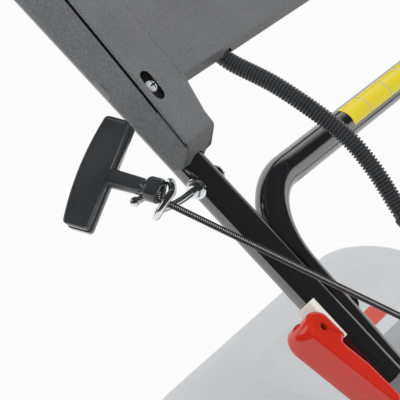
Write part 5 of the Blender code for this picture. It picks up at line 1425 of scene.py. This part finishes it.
def make_deck():
    drop = DECK_TOP - DECK_SKIRT
    sheet = 0.0025
    shoulder = curve_through([
        (0.0, DECK_TOP - 0.25 * drop), (0.0030, DECK_TOP - 0.15 * drop),
        (0.0084, DECK_TOP - 0.09 * drop), (0.017, DECK_TOP - 0.028 * drop), (0.028, DECK_TOP),
    ], 10)
    skirt = [(0.0006, DECK_SKIRT), (0.0, DECK_SKIRT + 0.0007), (0.0, 0.10)]
    within = [(0.0019, DECK_SKIRT), (sheet, DECK_SKIRT + 0.0007), (sheet, 0.10)]
    within += [(inset + sheet * 0.8, z - sheet * 0.9) for inset, z in shoulder]
    outer = [deck_ring(inset, z) for inset, z in skirt + shoulder]
    inner = [deck_ring(inset, z) for inset, z in within]
    cutters = [
        solid(rounded_box((-0.085, -0.150), (0.080, 0.150), 0.012, 5), 0.155, 0.195, on_mower),
        solid(circle((SHAFT_X, 0.0), 0.030, 48), 0.155, 0.195, on_mower),
        solid(rectangle((-0.013, 0.0419), (0.030, 0.125)), -0.23, 0.23,
              lambda x, z, y: on_mower(x, y, z)),
    ]
    mesh = carve(loft("deck", inner[::-1] + outer), cutters)
    show("deck_pressing", mesh, red_enamel, "mower", ["deck_shell"])


make_deck()
softened("outlet_hood", "discharge_chute", black_plastic, "mower", 0.0012)
softened("outlet_flap", "rear_flap", black_plastic, "rear_flap", 0.0010)
for side in ("right", "left"):
    softened(f"foot_bracket_{side}", f"handle_bracket_{side}", black_enamel, "mower",
             0.0006, 2)
    softened(f"foot_bolt_{side}", f"handle_bolt_{side}", zinc, "mower", 0.0004, 2)


# Wheels: moulded black rims with a ribbed web, and solid tyres with a chevron tread.
FRONT_AXLE_X = 0.56
FRONT_WHEEL_R, REAR_WHEEL_R = 0.095, 0.115
TYRE_WIDTH, TRACK_INSIDE = 0.045, 0.238

tyre_rubber = finish("tyre_rubber", (0.020, 0.020, 0.020), (0.70, 0.88), grain=900.0, bump=0.4,
                     patch=35.0, patchy=0.3, scuff=(50.0, 0.66), scuff_colour=(0.07, 0.065, 0.055))
steel = finish("plain_steel", (0.44, 0.44, 0.45), (0.28, 0.42), metallic=1.0, grain=600.0,
               bump=0.08, patchy=0.12)
cast_alloy = finish("cast_alloy", (0.55, 0.56, 0.57), (0.42, 0.58), metallic=1.0, grain=1100.0,
                    bump=0.35, patchy=0.10)


# Geometry nodes: points at one place, each turned on by its share of a full turn
def points_round(tree, given):
    spots = add(tree, "GeometryNodeMeshLine", {"Count": given["Count"], "Offset": (0, 0, 0)})
    number = add(tree, "GeometryNodeInputIndex").outputs[0]
    share = maths(tree, "DIVIDE", number, given["Count"])
    angle = maths(tree, "MULTIPLY", share, 2 * math.pi)
    return spots.outputs["Mesh"], add(tree, "ShaderNodeCombineXYZ", {"Z": angle}).outputs[0]


ROUND = copies_tree("copies_round_an_axis", "Count", "Int", points_round)


def repeated(mesh, count, material, centre, axis):
    part = temporary(mesh)
    holder = temporary(bpy.data.meshes.new("holder"))
    with_inputs(holder, ROUND, {"Piece": part, "Count": count, "Finish": material})
    bpy.context.view_layer.update()
    result = applied(holder)
    bpy.data.objects.remove(part)
    result.transform(standing(centre, axis))
    return result


# An eight-cornered block, its corners as two loops of four
def block_of(name, points):
    sides = [(k, (k + 1) % 4, (k + 1) % 4 + 4, k + 4) for k in range(4)]
    return clean_mesh(name, points, [(3, 2, 1, 0), (4, 5, 6, 7), *sides])


# One bar of the chevron tread, from the middle of the tyre out to one side
def tread_bar(radius, base, half, way):
    outline = [(0.0004, 0.0), (0.0060, 0.0), (0.0125, way * half * 0.93),
               (0.0070, way * half * 0.93)]
    points = []
    for level, narrow in ((base - 0.003, 1.0), (radius, 0.988)):
        for along, across in outline:
            far = level - (0.0034 if abs(across) > half * 0.8 else 0.0)
            turn = along / radius
            points.append((far * math.cos(turn), far * math.sin(turn), across * narrow))
    return block_of("lug", points)


def make_wheel(name, x, radius, side, body):
    half = TYRE_WIDTH / 2
    bore = 0.0078
    bars = 44 if radius == REAR_WHEEL_R else 36
    centre = on_mower(x, side * (TRACK_INSIDE + half), radius)
    axis = (0, side, 0)
    rim_r = radius / math.cos(math.pi / 20) - 0.026
    base = radius - 0.0026
    tread = mirrored([
        (rim_r + 0.0002, half * 0.74), (rim_r + 0.004, half * 0.80), (base - 0.010, half * 0.98),
        (base - 0.005, half * 0.97), (base - 0.0015, half * 0.86), (base, half * 0.66),
    ], [(base, 0.0)])
    tyre = turned("tyre", tread, centre, axis, 80, ring=True)
    chevron = joined("lugs", [tread_bar(radius, base, half, way) for way in (1, -1)])
    treads = repeated(chevron, bars, tyre_rubber, centre, axis)
    show(f"tyre_tread_{name}", joined("tyre", [tyre, treads]), tyre_rubber, body,
         [f"tyre_{name}"])
    profile = mirrored([
        (rim_r, half * 0.70), (rim_r - 0.0045, half * 0.74), (rim_r - 0.0060, half * 0.70),
        (rim_r - 0.0070, 0.0045), (rim_r - 0.0085, 0.0032), (0.0235, 0.0040), (0.0215, 0.0060),
        (0.0205, half * 0.86), (0.0190, half * 0.90), (bore, half * 0.90),
    ])
    rim = turned("rim", profile, centre, axis, 72, ring=True)
    far = rim_r - 0.0055
    outline = [(0.0195, -0.0018), (far, -0.0013), (far, 0.0013), (0.0195, 0.0018)]
    points = []
    for z in (-half * 0.86, half * 0.86):
        points += [(x, y, z * (0.55 if x > 0.03 else 1.0)) for x, y in outline]
    ribs = repeated(block_of("rib", points), 10, black_plastic, centre, axis)
    show(f"wheel_rim_{name}", joined("rim", [rim, ribs]), black_plastic, body, [f"rim_{name}"])


for side, way in (("right", -1), ("left", 1)):
    make_wheel(f"front_{side}", FRONT_AXLE_X, FRONT_WHEEL_R, way, f"front_wheel_{side}")
    make_wheel(f"rear_{side}", 0.0, REAR_WHEEL_R, way, "rear_wheels")
softened("front_axle_rod", "front_axle", zinc, "front_axle", 0.0005, 2)
softened("carrier", "rear_axle_carrier", zinc, "rear_carrier", 0.0005, 2)
softened("driven_axle", "rear_axle", steel, "rear_wheels", 0.0010, 2)
softened("height_lever_arm", "height_lever", black_plastic, "rear_carrier",
         0.0012)
softened("drive_gearbox", "gearbox", cast_alloy, "rear_carrier", 0.0016)


# Engine: a cast alloy crankcase under a black blower cowl, with the round starter cover on top,
# and around it the fuel tank, the air filter's cover and the steel exhaust box.
def make_cowl():
    top, wall = 0.3140, 0.0025

    def ring(inset, z):
        half = 0.121 - inset
        outline = rounded_box((0.147 + inset, -half), (0.452 - inset, half), 0.050 - inset, 14)
        return [on_mower(x, y, z) for x, y in outline]

    shoulder = [(0.001, top - 0.016), (0.0024, top - 0.008), (0.0055, top - 0.0030), (0.012, top)]
    levels = [(0.0, 0.236), (0.0005, 0.270)] + curve_through(shoulder, 10)
    outer = [ring(inset, z) for inset, z in levels]
    inner = [ring(inset + wall, z if z < 0.3 else z - wall) for inset, z in levels]
    cutters = [solid(circle((SHAFT_X, 0.0), 0.078, 72), 0.29, 0.34, on_mower)]
    for k in range(5):
        x = 0.392 + 0.010 * k
        louvre = rounded_box((x, -0.045), (x + 0.005, 0.045), 0.0024, 5)
        cutters.append(solid(louvre, 0.29, 0.34, on_mower))
    mesh = carve(loft("cowl", inner[::-1] + outer), cutters)
    show("blower_cowl", mesh, black_plastic, "mower", ["engine_cowl"])


def make_starter_cover():
    low, top, radius, wall = 0.3143, 0.384, 0.104, 0.0025
    centre = on_mower(SHAFT_X, 0, 0)
    side = curve_through([
        (0.078, top), (0.088, top - 0.0040), (0.095, top - 0.0130), (0.1005, top - 0.0240),
        (radius, top - 0.036),
    ], 14)
    profile = [
        (0.0, top), (0.030, top), (0.031, top - 0.001), (0.072, top - 0.001), (0.073, top), *side,
        (radius, low + 0.001), (radius - 0.0008, low), (radius - wall, low),
        (radius - wall, top - 0.0365), (0.0918, top - 0.0137), (0.0770, top - wall),
        (0.010, top - wall), (0.010, 0.3218), (0.0, 0.3218),
    ]
    slot = rectangle((0.034, -0.0027), (0.070, 0.0027))
    slots = solid(slot, top - 0.02, top + 0.01, lambda x, y, z: Vector((x, y, z)))
    ring = repeated(slots, 16, black_plastic, centre, (0, 0, 1))
    ring.materials.clear()

    def bar(name, near, far, size, sides):
        return round_bar(name, [CORD_EXIT + CORD_WAY * at for at in (near, far)], size, sides)

    eyes = [bar("eye", -0.01, 0.03, CORD_R + 0.0012, 24) for _ in range(2)]
    cover = carve(turned("cover", profile, centre, (0, 0, 1), 96), [ring, eyes[0]])
    boss = carve(bar("boss", -0.001, 0.018, 0.0095, 36), [eyes[1]])
    show("starter_cover", joined("starter_cover", [cover, boss]), black_plastic, "mower",
         ["recoil_cover"])


def turned_piece(name, node, profile, centre, axis, material, body, steps=64, ring=False):
    mesh = turned(name, profile, on_mower(*centre), axis, steps, ring)
    show(name, mesh, material, body, [node])


make_cowl()
make_starter_cover()
softened("crankcase", "engine_block", cast_alloy, "mower", 0.0010, 2)
softened("exhaust_box", "muffler", steel, "mower", 0.0030, 3)
softened("filter_cover", "air_filter_cover", black_plastic, "mower", 0.0030, 3)
softened("tank", "fuel_tank", black_plastic, "mower", 0.0030, 3)
softened("plug_boot", "spark_plug_boot", black_rubber, "mower", 0.0008, 2)
turned_piece("filler_cap", "fuel_cap", [
    (0.0, 0.019), (0.0190, 0.019), (0.0225, 0.0180), (0.0238, 0.0160), (0.0240, 0.0010),
    (0.0234, 0.0), (0.0182, 0.0), (0.0182, 0.0135), (0.0, 0.0135),
], (0.215, 0.1575, 0.3183), (0, 0, 1), black_plastic, "fuel_cap")
OIL_SEAT = Vector((0.222, -0.150, 0.221))
OIL_WAY = Vector((-0.018, -0.098, 0.018)).normalized()
turned_piece("dipstick_cap", "oil_cap", [
    (0.0, 0.013), (0.0105, 0.013), (0.0122, 0.0124), (0.0130, 0.0110), (0.0130, 0.0008),
    (0.0122, 0.0), (0.0054, 0.0), (0.0054, -0.014), (0.0, -0.014),
], OIL_SEAT + OIL_WAY * 0.0003, OIL_WAY, black_plastic, "oil_cap", 48)
turned_piece("primer_dome", "primer_bulb", [
    (0.0, 0.0095), (0.0026, 0.0093), (0.0050, 0.0085), (0.0074, 0.0070), (0.0094, 0.0047),
    (0.0106, 0.0020), (0.0112, 0.0), (0.0112, -0.0010), (0.0, -0.0010),
], (0.412, 0.1316, 0.210), (0, 1, 0), black_rubber, "primer_bulb", 48)


# Turning parts under the cowl and deck: flywheel, reel, shaft, blade and drive pulleys.
turned_piece("flywheel_casting", "flywheel", [
    (0.026, 0.014), (0.050, 0.006), (0.080, 0.012), (0.084, 0.012), (0.084, -0.012),
    (0.074, -0.012), (0.070, -0.004), (0.0113, -0.010), (0.0113, 0.014),
], (SHAFT_X, 0, 0.262), (0, 0, 1), cast_alloy, "crank_train", 72, True)
turned_piece("cord_reel", "starter_reel", [
    *mirrored([(0.049, 0.0075), (0.049, 0.0055), (0.037, 0.0050)]),
    (0.0103, -0.0075), (0.0103, 0.0075),
], (SHAFT_X, 0, REEL_Z), (0, 0, 1), black_plastic, "starter_reel", 60, True)
turned_piece("driven_pulley", "gearbox_pulley", [
    *mirrored([(0.036, 0.0065), (0.036, 0.0052), (0.030, 0.0043)]),
    (0.0058, -0.0065), (0.0058, 0.0065),
], (0, 0, 0.159), (0, 0, 1), steel, "gearbox_pulley", 60, True)
softened("crank_shaft", "crankshaft", steel, "crank_train", 0.0004, 2)
softened("cutting_blade", "blade", steel, "crank_train", 0.0006, 2)
softened("blade_fixing", "blade_bolt", zinc, "crank_train", 0.0005, 2)
softened("vee_belt", "drive_belt", black_rubber, "mower", 0.0006, 2)


# Control cables: two 3.4 mm cables leave the hose side by side, one for the drive and one for
# the engine's brake, and follow the handle down to the deck.
cable_sheath = finish("cable_sheath", (0.016, 0.016, 0.017), (0.32, 0.42), grain=1500.0, bump=0.1)
CABLE_R = 0.0017


def make_cables():
    hose_end = smooth_route(HOSE_ROUTE, 14)[-2:]
    offset = Vector((0, 0.0014, 0))
    drive = [
        (-0.335, -0.132, 0.519), (-0.262, -0.155, 0.455), (-0.215, -0.168, 0.412),
        (-0.175, -0.1735, 0.376), (-0.110, -0.1755, 0.325), (-0.0700, -0.1760, 0.2873),
        (-0.0520, -0.1762, 0.2705), (-0.0455, -0.1761, 0.2645), (-0.0417, -0.1757, 0.2609),
        (-0.0372, -0.1746, 0.2567), (-0.0334, -0.1712, 0.2532), (-0.0309, -0.1661, 0.2508),
        (-0.0300, -0.1600, 0.2500),
    ]
    brake = [
        (-0.335, -0.129, 0.521), (-0.262, -0.151, 0.458), (-0.215, -0.164, 0.415),
        (-0.170, -0.169, 0.380), (-0.095, -0.1705, 0.338), (0.0, -0.166, 0.290),
        (0.080, -0.120, 0.235), (0.150, -0.070, 0.215), (0.1974, -0.045, 0.210),
    ]
    for name, points, end, way in (
        ("drive_cable", drive, (-0.030, -0.157, 0.250), -1),
        ("brake_cable", brake, (0.2074, -0.044, 0.210), 1),
    ):
        route = [point + offset * way for point in hose_end] + [on_mower(*p) for p in points]
        path = [*smooth_route(route, 70), on_mower(*end)]
        cable = show(name, round_bar(name, path, CABLE_R, 16), cable_sheath, None)
        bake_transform(cable)
        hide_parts("control_cables")


make_cables()
